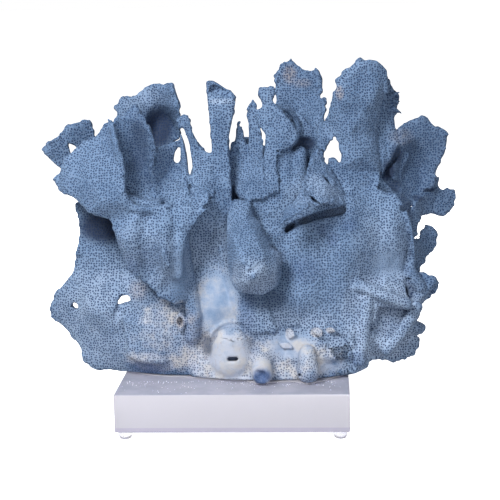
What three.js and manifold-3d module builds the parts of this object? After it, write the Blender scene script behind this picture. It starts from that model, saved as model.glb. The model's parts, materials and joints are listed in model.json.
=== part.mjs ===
// Blue coral colony on a clear block: millimetres, +Z up, +X to the viewer's right, -Y towards the viewer.
// The coral is one growth of folded plates. Each plate is a thickened sheet, drawn as a rim with a depth at
// every rim point, and it is its own node from the fork where it leaves its neighbours.
import * as THREE from "three";
import Module from "manifold-3d";

const wasm = await Module();
wasm.setup();

// ---- driving dimensions ----
const BLOCK_SIDE = 152.4;
const BLOCK_HEIGHT = 25.4;
const BUMPER_HEIGHT = 4.8;
const BUMPER_RADIUS = 4.75;
const BUMPER_INSET_X = 6.2;
const BUMPER_INSET_Y = 5.6;
const GAP = 0.3;
const CUT_CLEARANCE = 0.5;
const GLUE_HEIGHT = 0.8;
const RIM_THICKNESS = 4.4;
const ROOT_THICKNESS = 8;
const RIM_TAPER = 22;
const SHEET_STEP = 15;
const SIMPLIFY = 0.06;
const NUDGE = 0.001;

const BLOCK_TOP = BUMPER_HEIGHT + GAP + BLOCK_HEIGHT;
const GLUE_BOTTOM = BLOCK_TOP + GAP;
const FOOT_BOTTOM = GLUE_BOTTOM + GLUE_HEIGHT + GAP;

// ---- finishes ----
const CORAL_COLOURS = { pale: 0x8ea6cc, mid: 0x6d87b4, deep: 0x50689a, chalk: 0xc3c6cf };

function coralMaterial(shade) {
  return new THREE.MeshStandardMaterial({ color: CORAL_COLOURS[shade], roughness: 0.85, metalness: 0 });
}

function acrylicMaterial() {
  return new THREE.MeshStandardMaterial({ color: 0xe4e4f0, roughness: 0.08, metalness: 0 });
}

function glueMaterial() {
  return new THREE.MeshStandardMaterial({ color: 0xd8d8dc, roughness: 0.2, metalness: 0 });
}

// ---- solids ----
function solidFrom(positions, triangles) {
  const mesh = new wasm.Mesh({
    numProp: 3,
    vertProperties: Float32Array.from(positions),
    triVerts: Uint32Array.from(triangles),
  });
  return new wasm.Manifold(mesh);
}

function geometryFrom(solid) {
  const mesh = solid.getMesh();
  const geometry = new THREE.BufferGeometry();
  geometry.setAttribute("position", new THREE.Float32BufferAttribute(mesh.vertProperties, 3));
  geometry.setIndex(Array.from(mesh.triVerts));
  geometry.computeVertexNormals();
  return geometry;
}

/** The largest single body of a solid, so that a cut leaves no loose crumb. */
function mainBody(solid) {
  const bodies = solid.decompose();
  bodies.sort((a, b) => b.volume() - a.volume());
  return bodies[0];
}

// ---- sheets ----
/** Solves a dense linear system by elimination with row swaps. */
function solve(rows, right) {
  const n = right.length;
  for (let i = 0; i < n; i++) {
    let best = i;
    for (let k = i + 1; k < n; k++) {
      if (Math.abs(rows[k][i]) > Math.abs(rows[best][i])) best = k;
    }
    [rows[i], rows[best]] = [rows[best], rows[i]];
    [right[i], right[best]] = [right[best], right[i]];
    for (let k = i + 1; k < n; k++) {
      const share = rows[k][i] / rows[i][i];
      for (let j = i; j < n; j++) rows[k][j] -= share * rows[i][j];
      right[k] -= share * right[i];
    }
  }
  for (let i = n - 1; i >= 0; i--) {
    for (let j = i + 1; j < n; j++) right[i] -= rows[i][j] * right[j];
    right[i] /= rows[i][i];
  }
  return right;
}

/** A smooth depth over the sheet's own plane that passes near every given [u, z, depth]. */
function depthField(points, softness = 12) {
  const n = points.length;
  const bend = (r2) => (r2 > 0 ? 0.5 * r2 * Math.log(r2) : 0);
  const rows = [];
  const right = [];
  for (let i = 0; i < n + 3; i++) {
    rows.push(new Array(n + 3).fill(0));
    right.push(0);
  }
  points.forEach(([u, z, depth], i) => {
    points.forEach(([v, w], j) => {
      rows[i][j] = bend((u - v) ** 2 + (z - w) ** 2);
    });
    rows[i][i] += softness;
    [1, u, z].forEach((value, k) => {
      rows[i][n + k] = value;
      rows[n + k][i] = value;
    });
    right[i] = depth;
  });
  const weights = solve(rows, right);
  return (u, z) => {
    let depth = weights[n] + weights[n + 1] * u + weights[n + 2] * z;
    points.forEach(([v, w], j) => {
      depth += weights[j] * bend((u - v) ** 2 + (z - w) ** 2);
    });
    return depth;
  };
}

function distanceToEdge(point, start, end) {
  const edge = end.clone().sub(start);
  const along = THREE.MathUtils.clamp(point.clone().sub(start).dot(edge) / edge.lengthSq(), 0, 1);
  return point.distanceTo(start.clone().addScaledVector(edge, along));
}

function distanceToLoops(point, loops) {
  let nearest = Infinity;
  for (const loop of loops) {
    loop.forEach((start, i) => {
      nearest = Math.min(nearest, distanceToEdge(point, start, loop[(i + 1) % loop.length]));
    });
  }
  return nearest;
}

function isInside(point, loop) {
  let inside = false;
  loop.forEach((a, i) => {
    const b = loop[(i + 1) % loop.length];
    if (a.y > point.y !== b.y > point.y) {
      const crossing = a.x + ((point.y - a.y) / (b.y - a.y)) * (b.x - a.x);
      if (point.x < crossing) inside = !inside;
    }
  });
  return inside;
}

/** Pushes a closed loop outwards by a margin, corner by corner. */
function grownLoop(loop, margin) {
  if (margin === 0) return loop;
  const turn = THREE.ShapeUtils.area(loop) > 0 ? 1 : -1;
  return loop.map((point, i) => {
    const before = point.clone().sub(loop[(i + loop.length - 1) % loop.length]).normalize();
    const after = loop[(i + 1) % loop.length].clone().sub(point).normalize();
    const along = before.add(after);
    const reach = margin * Math.min(2.5, 2 / Math.max(along.length(), 0.1));
    along.normalize();
    return new THREE.Vector2(point.x + turn * along.y * reach, point.y - turn * along.x * reach);
  });
}

/** Splits the long sides of a loop so that none is longer than the step, on a curve through its corners. */
function splitLoop(loop, step) {
  const curve = new THREE.CatmullRomCurve3(loop.map((p) => new THREE.Vector3(p.x, p.y, 0)), true);
  return loop.flatMap((start, i) => {
    const end = loop[(i + 1) % loop.length];
    const parts = Math.max(1, Math.round(start.distanceTo(end) / step));
    return Array.from({ length: parts }, (unused, k) => {
      const p = curve.getPoint((i + k / parts) / loop.length);
      return new THREE.Vector2(p.x, p.y);
    });
  });
}

/** Twice the area of a triangle of points, above zero when it turns left. */
function side(points, a, b, c) {
  return (points[b].x - points[a].x) * (points[c].y - points[a].y) -
    (points[b].y - points[a].y) * (points[c].x - points[a].x);
}

/** Swaps the diagonals of neighbouring triangles until every triangle is as full as it can be. */
function evenTriangles(points, triangles) {
  const angle = (a, b, c) => points[b].clone().sub(points[a]).angleTo(points[c].clone().sub(points[a]));
  for (let pass = 0; pass < 60; pass++) {
    const owners = new Map();
    triangles.forEach((triangle, t) => {
      for (let k = 0; k < 3; k++) {
        owners.set(`${triangle[k]}_${triangle[(k + 1) % 3]}`, [t, triangle[(k + 2) % 3]]);
      }
    });
    let swapped = false;
    const used = new Set();
    for (const [key, [t, apex]] of owners) {
      const [a, b] = key.split("_").map(Number);
      const other = owners.get(`${b}_${a}`);
      if (!other || used.has(t) || used.has(other[0])) continue;
      const [s, far] = other;
      if (side(points, a, far, apex) <= 1e-6 || side(points, far, b, apex) <= 1e-6) continue;
      if (angle(apex, a, b) + angle(far, a, b) <= Math.PI + 1e-6) continue;
      triangles[t] = [a, far, apex];
      triangles[s] = [far, b, apex];
      used.add(t);
      used.add(s);
      swapped = true;
    }
    if (!swapped) break;
  }
}

/** Flat triangles over a rim with holes, with extra points spread evenly between. */
function triangulate(loops, step) {
  const [rim, ...holes] = loops;
  const inner = [];
  const box = new THREE.Box2().setFromPoints(rim);
  const rowHeight = step * Math.sqrt(0.75);
  let row = 0;
  for (let z = box.min.y + rowHeight / 2; z < box.max.y; z += rowHeight) {
    for (let u = box.min.x + (row % 2 ? step / 2 : 0); u < box.max.x; u += step) {
      const point = new THREE.Vector2(u, z);
      const clear = distanceToLoops(point, loops) > step * 0.45;
      if (clear && isInside(point, rim) && !holes.some((hole) => isInside(point, hole))) inner.push(point);
    }
    row += 1;
  }
  const points = [...loops.flat(), ...inner];
  // Points in one straight line would be skipped, so the first triangles are found on nudged copies.
  const nudged = (loop) => loop.map((p, i) =>
    new THREE.Vector2(p.x + NUDGE * Math.sin(7 * i), p.y + NUDGE * Math.cos(11 * i)));
  const faces = THREE.ShapeUtils.triangulateShape(nudged(rim), holes.map(nudged));
  const flatArea = faces.reduce((sum, [a, b, c]) =>
    sum + THREE.ShapeUtils.area([points[a], points[b], points[c]]), 0);
  const wound = flatArea > 0 ? faces : faces.map(([a, b, c]) => [a, c, b]);
  evenTriangles(points, wound);
  inner.forEach((point, k) => {
    const p = points.length - inner.length + k;
    const depthInside = ([a, b, c]) =>
      Math.min(side(points, a, b, p), side(points, b, c, p), side(points, c, a, p));
    const deeper = (best, face, i) => (depthInside(face) > depthInside(wound[best]) ? i : best);
    const home = wound.reduce(deeper, 0);
    const [a, b, c] = wound[home];
    wound[home] = [a, b, p];
    wound.push([b, c, p], [c, a, p]);
    evenTriangles(points, wound);
  });
  return { points, faces: wound };
}

/**
 * A folded plate as one closed solid.
 * plate: { rim, folds, holes, yaw, at, rimThickness, rootThickness, step }, all lists of [u, z, depth];
 * margin thickens the plate and widens its rim, to cut a clearance in a neighbour.
 */
function plateSolid(plate, margin = 0) {
  const { rim, folds = [], holes = [], yaw = 0, at = [0, 0] } = plate;
  const rimThickness = plate.rimThickness ?? RIM_THICKNESS;
  const rootThickness = plate.rootThickness ?? ROOT_THICKNESS;
  const step = plate.step ?? SHEET_STEP;
  const field = depthField([...rim, ...folds]);
  let outline = rim.map(([u, z]) => new THREE.Vector2(u, z));
  if (THREE.ShapeUtils.area(outline) < 0) outline.reverse();
  outline = splitLoop(outline, step);
  const windows = holes.map((hole) => {
    const loop = hole.map(([u, z]) => new THREE.Vector2(u, z));
    if (THREE.ShapeUtils.area(loop) > 0) loop.reverse();
    return loop;
  });
  const loops = [outline, ...windows];
  const { points, faces } = triangulate(loops, step);
  const places = [...grownLoop(outline, margin), ...windows.flatMap((loop) => grownLoop(loop, -margin))];
  const cos = Math.cos(yaw);
  const sin = Math.sin(yaw);
  const front = [];
  const back = [];
  points.forEach((point, i) => {
    const place = places[i] ?? point;
    const depth = field(place.x, place.y);
    const slopeU = (field(point.x + 1, point.y) - field(point.x - 1, point.y)) / 2;
    const slopeZ = (field(point.x, point.y + 1) - field(point.x, point.y - 1)) / 2;
    const fullness = Math.min(1, distanceToLoops(point, [outline]) / RIM_TAPER);
    const normal = new THREE.Vector3(-slopeU * fullness, 1, -slopeZ * fullness).normalize();
    const half = THREE.MathUtils.lerp(rimThickness, rootThickness, fullness) / 2 + margin;
    const centre = new THREE.Vector3(place.x, depth, place.y);
    for (const [list, sign] of [[front, -1], [back, 1]]) {
      const p = centre.clone().addScaledVector(normal, sign * half);
      list.push(at[0] + p.x * cos - p.y * sin, at[1] + p.x * sin + p.y * cos, p.z);
    }
  });
  const count = points.length;
  const triangles = [];
  for (const [a, b, c] of faces) {
    triangles.push(a, b, c, count + a, count + c, count + b);
  }
  let first = 0;
  for (const loop of loops) {
    loop.forEach((unused, i) => {
      const a = first + i;
      const b = first + ((i + 1) % loop.length);
      triangles.push(b, a, count + a, b, count + a, count + b);
    });
    first += loop.length;
  }
  return solidFrom([...front, ...back], triangles);
}

// ---- round branches and lumps ----
/** A round branch through [x, y, z, radius] with rounded ends. */
function branchSolid(path, margin = 0, sides = 8) {
  const nodes = path.map(([x, y, z]) => new THREE.Vector3(x, y, z));
  const radii = path.map((point) => point[3] + margin);
  const last = nodes.length - 1;
  const tangents = nodes.map((unused, i) =>
    nodes[Math.min(i + 1, last)].clone().sub(nodes[Math.max(i - 1, 0)]).normalize());
  const rings = [];
  const addRing = (centre, tangent, radius) => {
    const across = new THREE.Vector3(0, 1, 0).cross(tangent).normalize();
    const over = tangent.clone().cross(across);
    rings.push(Array.from({ length: sides }, (unused, k) => {
      const turn = (2 * Math.PI * k) / sides;
      return centre.clone()
        .addScaledVector(across, radius * Math.cos(turn))
        .addScaledVector(over, radius * Math.sin(turn));
    }));
  };
  addRing(nodes[0].clone().addScaledVector(tangents[0], -0.6 * radii[0]), tangents[0], 0.7 * radii[0]);
  nodes.forEach((node, i) => addRing(node, tangents[i], radii[i]));
  addRing(nodes[last].clone().addScaledVector(tangents[last], 0.6 * radii[last]), tangents[last],
    0.7 * radii[last]);
  const start = nodes[0].clone().addScaledVector(tangents[0], -0.95 * radii[0]);
  const end = nodes[last].clone().addScaledVector(tangents[last], 0.95 * radii[last]);
  const positions = [...rings.flat(), start, end].flatMap((p) => [p.x, p.y, p.z]);
  const triangles = [];
  for (let r = 0; r + 1 < rings.length; r++) {
    for (let k = 0; k < sides; k++) {
      const a = r * sides + k;
      const b = r * sides + ((k + 1) % sides);
      triangles.push(a, b, b + sides, a, b + sides, a + sides);
    }
  }
  const startIndex = rings.length * sides;
  const lastRing = (rings.length - 1) * sides;
  for (let k = 0; k < sides; k++) {
    triangles.push(startIndex, (k + 1) % sides, k);
    triangles.push(startIndex + 1, lastRing + k, lastRing + ((k + 1) % sides));
  }
  return solidFrom(positions, triangles);
}

/** An egg-shaped lump: centre [x, y, z] and half sizes [a, b, c]. */
function lumpSolid(centre, halves, margin = 0) {
  const sphere = new THREE.IcosahedronGeometry(1, 1);
  const corners = sphere.getAttribute("position");
  const index = new Map();
  const positions = [];
  const triangles = [];
  for (let i = 0; i < corners.count; i++) {
    const unit = [corners.getX(i), corners.getY(i), corners.getZ(i)];
    const key = unit.map((value) => value.toFixed(4)).join("_");
    if (!index.has(key)) {
      index.set(key, index.size);
      unit.forEach((value, k) => positions.push(centre[k] + value * (halves[k] + margin)));
    }
    triangles.push(index.get(key));
  }
  return solidFrom(positions, triangles);
}

/** A stack of level sections [z, centreX, centreY, halfX, halfY], joined and closed top and bottom. */
function stackSolid(sections, margin = 0, sides = 20) {
  const positions = [];
  sections.forEach(([z, centreX, centreY, halfX, halfY], level) => {
    for (let k = 0; k < sides; k++) {
      const turn = (2 * Math.PI * k) / sides;
      const wobble = 1 + 0.05 * Math.sin(3 * turn + level) + 0.04 * Math.sin(5 * turn - 2 * level);
      positions.push(
        centreX + (halfX + margin) * wobble * Math.cos(turn),
        centreY + (halfY + margin) * wobble * Math.sin(turn),
        z,
      );
    }
  });
  const triangles = [];
  for (let level = 0; level + 1 < sections.length; level++) {
    for (let k = 0; k < sides; k++) {
      const a = level * sides + k;
      const b = level * sides + ((k + 1) % sides);
      triangles.push(a, b, b + sides, a, b + sides, a + sides);
    }
  }
  const top = (sections.length - 1) * sides;
  for (let k = 1; k + 1 < sides; k++) {
    triangles.push(0, k + 1, k, top, top + k, top + k + 1);
  }
  return solidFrom(positions, triangles);
}

// ---- the colony ----
// Level sections [z, x, y, half x, half y]: the foot from its flat cut, and the trunk where plates fork.
const FOOT = [
  [FOOT_BOTTOM, 0, -6, 74, 26],
  [42, 2, -4, 76, 27],
  [62, 4, 2, 62, 24],
];
const TRUNK = [
  [62 + GAP, 1, 2, 64, 23],
  [80, -2, 4, 61, 22],
  [105, -2, 4, 55, 20],
  [130, -4, 4, 51, 17],
  [148, -4, 6, 43, 12],
  [157, -2, 8, 28, 7],
];
// Lumps that swell out of the foot: centre and half sizes.
const FOOT_LUMPS = [
  [[-5, -27, 46], [15, 14, 19]],
  [[18, -38, 35], [8, 11, 9]],
  [[48, -38, 38], [9, 13, 9]],
  [[-60, -16, 44], [16, 12, 15]],
  [[30, -24, 44], [20, 14, 16]],
  [[62, -18, 42], [16, 12, 13]],
];
// Openings between the lumps of the foot, right under the plates.
const FOOT_HOLLOWS = [
  [[-18, -40, 51], [4.5, 16, 8]],
  [[72, -30, 51], [7, 14, 6]],
];

// Every plate: rim and folds as [across, up, depth]; yaw turns a plate that grows to the back.
const PLATES = [
  {
    name: "front_drop",
    shade: "mid",
    rim: [
      [1, 149, -20], [-3, 140, -26], [-3, 130, -34], [-3, 117, -40], [-2, 104, -44], [1, 96, -46],
      [6, 92, -46], [13, 91, -46], [20, 90, -46], [27, 93, -45], [31, 96, -42], [33, 103, -40],
      [33, 111, -40], [31, 117, -40], [27, 119, -38], [23, 126, -34], [18, 135, -28], [14, 139, -24],
      [11, 148, -18],
    ],
    folds: [[14, 108, -60], [15, 97, -56], [11, 122, -54], [7, 134, -40]],
    rootThickness: 13,
    rimThickness: 8,
    step: 12,
  },
  {
    name: "front_shelf",
    shade: "mid",
    rim: [
      [57, 180, -6], [51, 174, -11], [50, 167, -16], [47, 159, -23], [43, 153, -29], [36, 145, -37],
      [31, 133, -42], [36, 138, -45], [42, 142, -47], [51, 146, -46], [61, 147, -38], [71, 145, -22],
      [77, 144, -10], [75, 149, -7], [71, 157, -5], [63, 170, -5], [61, 175, -5],
    ],
    folds: [[55, 159, -28]],
    rootThickness: 7,
  },
  {
    name: "left_wing",
    shade: "mid",
    rim: [
      [-118, 165, -28], [-113, 170, -28], [-111, 177, -28], [-104, 184, -28], [-97, 190, -27],
      [-89, 193, -25], [-83, 202, -22], [-78, 206, -19], [-76, 198, -30], [-72, 187, -38], [-69, 175, -42],
      [-68, 166, -46], [-68, 162, -50], [-64, 153, -52], [-57, 147, -51], [-45, 147, -47], [-36, 151, -42],
      [-30, 146, -36], [-28, 130, -33], [-27, 110, -32], [-24, 92, -34], [-28, 85, -38], [-38, 83, -43],
      [-46, 87, -45], [-50, 92, -45], [-58, 100, -46], [-66, 107, -48], [-71, 119, -50], [-75, 133, -50],
      [-78, 141, -48], [-92, 145, -45], [-104, 155, -38], [-112, 157, -33],
    ],
    folds: [
      [-93, 168, -42], [-78, 155, -54], [-69, 134, -56], [-58, 118, -54], [-87, 180, -35],
      [-42, 118, -52], [-40, 98, -49], [-32, 118, -38],
    ],
  },
  {
    name: "front_body",
    shade: "chalk",
    rim: [
      [-32, 138, -26], [-24, 150, -26], [-12, 150, -23], [-9, 140, -24], [-8, 125, -26], [-5, 111, -30],
      [-3, 93, -33], [2, 79, -35], [8, 67, -36], [-2, 65, -36], [-13, 64, -36], [-22, 60, -35],
      [-32, 72, -34], [-34, 92, -28], [-33, 120, -25],
    ],
    folds: [[-20, 115, -25], [-15, 85, -35]],
  },
  {
    name: "front_hood",
    shade: "mid",
    rim: [
      [-32, 160, -32], [-26, 162, -30], [-19, 158, -32], [-14, 157, -36], [-13, 151, -41], [-15, 147, -44],
      [-20, 141, -46], [-26, 134, -47], [-33, 137, -47], [-37, 146, -45], [-36, 154, -41],
    ],
    rootThickness: 7,
  },
  {
    name: "right_wall",
    shade: "pale",
    rim: [
      [20, 128, -18], [24, 143, -16], [36, 150, -13], [48, 146, -14], [62, 147, -13], [80, 149, -10],
      [98, 152, -5], [106, 148, -2], [113, 141, 1], [118, 135, 1], [119, 125, 0], [119, 117, -2],
      [121, 107, -4], [119, 96, -6], [114, 88, -10], [96, 88, -17], [84, 86, -21], [80, 75, -25],
      [78, 64, -28], [64, 60, -30], [50, 60, -31], [34, 62, -31], [31, 54, -31], [20, 58, -31],
      [9, 66, -32], [7, 89, -30], [15, 108, -24],
    ],
    folds: [[60, 104, -28], [100, 116, -16], [85, 131, -18], [50, 85, -34], [40, 130, -16]],
  },
  {
    name: "lower_left_wall",
    shade: "mid",
    rim: [
      [-106, 147, -14], [-104, 127, -17], [-107, 112, -18], [-110, 100, -17], [-117, 92, -14],
      [-122, 86, -12], [-129, 74, -9], [-127, 67, -10], [-120, 62, -12], [-112, 54, -15], [-106, 47, -18],
      [-105, 39, -19], [-95, 32, -20], [-86, 33, -21], [-76, 29, -21], [-60, 29, -26], [-46, 29, -30],
      [-30, 29, -31], [-26, 50, -34], [-28, 72, -35], [-32, 90, -32], [-47, 100, -28], [-60, 110, -20],
      [-79, 130, -13], [-90, 149, -10],
    ],
    folds: [
      [-80, 73, -32], [-73, 70, -20], [-62, 63, -34], [-100, 75, -22], [-78, 100, -20], [-44, 68, -37],
      [-66, 92, -28],
    ],
    holes: [
      [[-76, 86], [-70, 86], [-69, 83], [-72, 80], [-79, 79]],
      [[-111, 75], [-108, 78], [-106, 77], [-108, 74]],
    ],
  },
  {
    name: "tower_left",
    shade: "pale",
    rim: [
      [86, 239, 7], [82, 236, 7], [79, 233, 6], [74, 230, 5], [73, 227, 4], [70, 225, 4], [71, 221, 4],
      [68, 218, 4], [66, 210, 6], [63, 200, 9], [56, 190, 12], [56, 180, 12], [62, 177, 9], [66, 185, 6],
      [69, 188, 5], [71, 184, 4], [73, 175, 2], [72, 166, 1], [71, 155, -2], [76, 145, -8], [95, 144, -10],
      [99, 162, 2], [97, 186, 9], [100, 205, 12], [104, 225, 13], [101, 231, 12], [97, 235, 10],
      [92, 237, 8],
    ],
    folds: [[85, 216, -3], [84, 182, -6]],
  },
  {
    name: "tower_right",
    shade: "mid",
    rim: [
      [105, 226, 14], [108, 223, 16], [111, 217, 18], [114, 215, 19], [113, 208, 20], [113, 202, 20],
      [111, 198, 19], [112, 188, 18], [113, 178, 17], [109, 174, 13], [104, 166, 9], [101, 161, 5],
      [97, 164, 3], [96, 186, 10], [100, 205, 13],
    ],
  },
  {
    name: "top_fan",
    shade: "pale",
    rim: [
      [18, 221, 2], [24, 222, 2], [28, 221, 3], [28, 216, 2], [27, 212, 1], [29, 210, 0], [33, 206, -1],
      [39, 199, -3], [44, 192, -4], [45, 188, -5], [42, 184, -6], [39, 181, -7], [32, 180, -7],
      [31, 166, -10], [31, 152, -16], [23, 152, -16], [21, 166, -8], [21, 183, -2], [22, 191, 0],
      [17, 197, 1], [16, 206, 3], [20, 208, 2], [20, 211, 2], [18, 215, 2],
    ],
    folds: [[30, 196, -7], [40, 189, -10]],
  },
  {
    name: "top_column",
    shade: "mid",
    rim: [
      [-17, 222, 0], [-16, 226, 0], [-12, 226, 0], [-4, 221, 0], [1, 218, 0], [2, 214, 0], [1, 208, 0],
      [-1, 196, -1], [-3, 186, -3], [-2, 171, -9], [-1, 153, -18], [0, 134, -24], [-1, 117, -28],
      [-5, 116, -30], [-7, 134, -26], [-8, 148, -20], [-13, 164, -11], [-14, 179, -6], [-15, 192, -3],
      [-16, 208, -1],
    ],
    rootThickness: 14,
    rimThickness: 6,
    step: 12,
  },
  {
    name: "forked_stick",
    shade: "pale",
    rim: [
      [-38, 202, -4], [-36, 204, -4], [-29, 205, -4], [-28, 200, -5], [-27, 192, -5], [-24, 187, -6],
      [-21, 182, -6], [-17, 179, -7], [-13, 178, -8], [-12, 164, -13], [-12, 151, -24], [-23, 154, -28],
      [-29, 163, -18], [-27, 167, -14], [-28, 173, -11], [-29, 178, -9], [-29, 184, -7], [-31, 190, -6],
      [-35, 196, -5],
    ],
  },
  {
    name: "top_fingers",
    shade: "mid",
    rim: [
      [-4, 167, 9], [-3, 183, 10], [0, 185, 10], [1, 199, 8], [5, 199, 8], [6, 192, 8], [8.5, 183, 8],
      [8.5, 170, 7], [10, 175, 6], [10, 195, 5], [10, 207, 4], [12, 211, 3], [14, 213, 3], [16, 209, 3],
      [16, 203, 3], [18, 195, 3], [20, 185, 2], [21, 165, -4], [23, 150, -14], [5, 148, -14],
      [-2, 157, -4],
    ],
  },
  {
    name: "strip_wall",
    shade: "mid",
    rim: [
      [-53, 183, -20], [-50, 184, -16], [-45, 185, -13], [-40, 187, -11], [-36, 188, -9], [-33, 192, -7],
      [-31, 188, -7], [-30, 173, -9], [-29, 163, -16], [-25, 151, -30], [-36, 142, -34], [-50, 142, -32],
      [-54, 161, -26],
    ],
    folds: [[-47, 167, -14]],
    holes: [[[-35, 185], [-35, 175], [-37, 172], [-40, 174], [-39, 180]]],
    rootThickness: 5,
  },
  {
    name: "pocket_wall",
    shade: "deep",
    rim: [
      [-78, 205, -19], [-72, 205, -12], [-69, 209, -10], [-64, 212, -11], [-61, 209, -14], [-56, 200, -17],
      [-53, 194, -18], [-50, 184, -19], [-52, 165, -22], [-53, 149, -28], [-67, 149, -30], [-76, 166, -24],
      [-80, 185, -20],
    ],
    folds: [[-68, 179, -8], [-66, 194, -8]],
  },
  {
    name: "fan_lobes",
    shade: "mid",
    rim: [
      [32, 178, -3], [38, 180, -4], [40, 176, -1], [42, 179, -2], [46, 178, 0], [48, 168, -2],
      [47, 156, -8], [40, 148, -15], [32, 150, -14],
    ],
  },
  {
    name: "fan_loop",
    shade: "pale",
    rim: [
      [32, 205, 13], [37, 208, 14], [43, 203, 13], [47, 201, 13], [50, 195, 13], [54, 192, 14],
      [54, 184, 15], [52, 171, 10], [40, 165, 5], [31, 174, 5],
    ],
  },
  {
    name: "behind_shelf",
    shade: "deep",
    rim: [
      [61, 150, 2], [61, 165, 3], [64, 174, 5], [68, 173, 5], [71, 168, 5], [74, 159, 4], [74, 144, 0],
      [60, 140, -4],
    ],
  },
  {
    name: "back_left_plate",
    shade: "mid",
    rim: [
      [-83, 208, 24], [-80, 213, 26], [-77, 216, 28], [-71, 215, 31], [-66, 218, 33], [-62, 222, 33],
      [-57, 224, 32], [-49, 223, 30], [-43, 224, 28], [-40, 218, 27], [-38, 208, 26], [-38, 192, 25],
      [-40, 185, 24], [-46, 181, 22], [-46, 162, 16], [-36, 130, 12], [-55, 125, 10], [-74, 143, 10],
      [-81, 162, 14], [-82, 191, 19], [-81, 203, 22],
    ],
    folds: [[-51, 200, 36], [-73, 201, 22]],
  },
  {
    name: "left_fin",
    shade: "deep",
    rim: [
      [-132, 181, 4], [-126, 187, 5], [-120, 191, 6], [-116, 196, 8], [-111, 199, 9], [-105, 200, 10],
      [-99, 201, 11], [-96, 189, 9], [-88, 178, 4], [-70, 172, -4], [-66, 158, -6], [-80, 152, -6],
      [-106, 160, -2], [-119, 168, 2], [-126, 175, 3],
    ],
    folds: [[-111, 180, 9]],
    holes: [[[-115, 187], [-108, 183], [-108, 174], [-112, 178]]],
  },
  {
    name: "back_middle_plate",
    shade: "deep",
    rim: [
      [28, 212, 32], [28, 222, 33], [27, 228, 34], [31, 231, 34], [32, 235, 34], [40, 239, 35],
      [43, 234, 35], [49, 230, 33], [54, 231, 31], [56, 233, 30], [60, 228, 30], [61, 220, 28],
      [59, 212, 26], [63, 212, 22], [63, 207, 20], [61, 199, 18], [62, 186, 15], [60, 168, 8],
      [56, 140, 6], [34, 140, 8], [30, 186, 20], [29, 200, 27],
    ],
    folds: [[40, 204, 38]],
  },
  {
    name: "right_blade",
    shade: "mid",
    rim: [
      [111, 191, 20], [116, 194, 23], [122, 196, 25], [128, 198, 27], [132, 196, 28], [135, 192, 28],
      [141, 189, 29], [146, 186, 29], [145, 175, 28], [141, 166, 28], [138, 158, 28], [137, 150, 26],
      [132, 147, 24], [124, 143, 20], [120, 136, 15], [112, 127, 7], [103, 134, 3], [97, 150, 4],
      [100, 166, 10], [108, 179, 17],
    ],
    folds: [[122, 168, 30]],
  },
  {
    name: "right_fin",
    shade: "mid",
    rim: [
      [138, 158, 30], [141, 155, 31], [140, 148, 32], [143, 146, 33], [148, 147, 34], [151, 146, 35],
      [152, 141, 35], [151, 134, 34], [147, 130, 33], [144, 128, 32], [135, 130, 28], [129, 130, 24],
      [126, 125, 21], [125, 118, 18], [117, 110, 8], [109, 116, 3], [111, 133, 6], [121, 143, 18],
      [131, 150, 26],
    ],
  },
  {
    name: "low_fin",
    shade: "mid",
    rim: [
      [131, 122, 26], [137, 120, 28], [140, 116, 29], [139, 109, 28], [135, 102, 25], [129, 96, 20],
      [126, 90, 16], [116, 89, 4], [107, 96, 0], [108, 113, 0], [120, 115, 12], [126, 114, 20],
      [129, 120, 24],
    ],
    folds: [[132, 108, 30]],
  },
  {
    name: "right_ear",
    shade: "deep",
    rim: [
      [112, 97, -14], [120, 95, -10], [126, 95, -5], [131, 92, -3], [138, 87, 0], [138, 84, 0],
      [134, 78, -2], [128, 76, -6], [126, 71, -10], [122, 63, -16], [116, 58, -20], [105, 49, -26],
      [98, 47, -28], [107, 59, -22], [113, 67, -18], [117, 74, -14], [116, 83, -13],
    ],
  },
  {
    name: "low_right_plate",
    shade: "deep",
    rim: [
      [119, 62, -10], [127, 60, -5], [129, 57, -4], [127, 53, -5], [122, 52, -8], [125, 49, -7],
      [125, 45, -8], [120, 39, -10], [107, 35, -14], [100, 37, -16], [92, 37, -18], [80, 34, -22],
      [66, 34, -22], [64, 48, -16], [76, 56, -12], [92, 60, -10], [108, 62, -9],
    ],
  },
  {
    name: "right_recess_wall",
    shade: "deep",
    rim: [
      [70, 92, -4], [95, 97, -2], [116, 94, 0], [121, 76, -2], [117, 66, -5], [108, 60, -6], [92, 58, -6],
      [76, 54, -8], [64, 60, -8],
    ],
  },
  // Plates that grow to the back.
  {
    name: "rear_left_plate",
    shade: "mid",
    yaw: 2.1,
    at: [-22, 14],
    rim: [
      [-4, 52, 0], [30, 44, 4], [52, 50, 8], [62, 68, 12], [58, 84, 10], [66, 98, 6], [72, 118, 2],
      [66, 138, -4], [54, 150, -8], [44, 144, -10], [34, 158, -8], [20, 166, -4], [4, 160, 0],
      [-4, 120, 2], [-8, 84, 0],
    ],
    folds: [[34, 96, -10], [28, 130, 6]],
  },
  {
    name: "rear_middle_plate",
    shade: "mid",
    yaw: 1.45,
    at: [10, 16],
    rim: [
      [-2, 60, 0], [22, 52, 4], [44, 56, 8], [56, 74, 8], [60, 98, 4], [52, 112, 0], [60, 128, -6],
      [62, 150, -10], [52, 172, -8], [40, 178, -2], [32, 170, 2], [22, 184, 6], [8, 180, 6],
      [-4, 160, 4], [-6, 110, 0],
    ],
    folds: [[30, 84, -8], [28, 136, 10]],
  },
  {
    name: "rear_right_plate",
    shade: "mid",
    yaw: 0.85,
    at: [36, 14],
    rim: [
      [-6, 64, 0], [18, 56, -2], [40, 60, -8], [58, 76, -12], [64, 96, -10], [56, 108, -6], [66, 120, -2],
      [68, 140, 4], [58, 156, 6], [46, 150, 6], [36, 164, 4], [22, 160, 2], [6, 168, 0], [-6, 150, -2],
      [-8, 100, 0],
    ],
    folds: [[30, 90, 6], [34, 130, -6]],
  },
  {
    name: "rear_low_plate",
    shade: "pale",
    yaw: 3.0,
    at: [8, 36],
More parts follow.
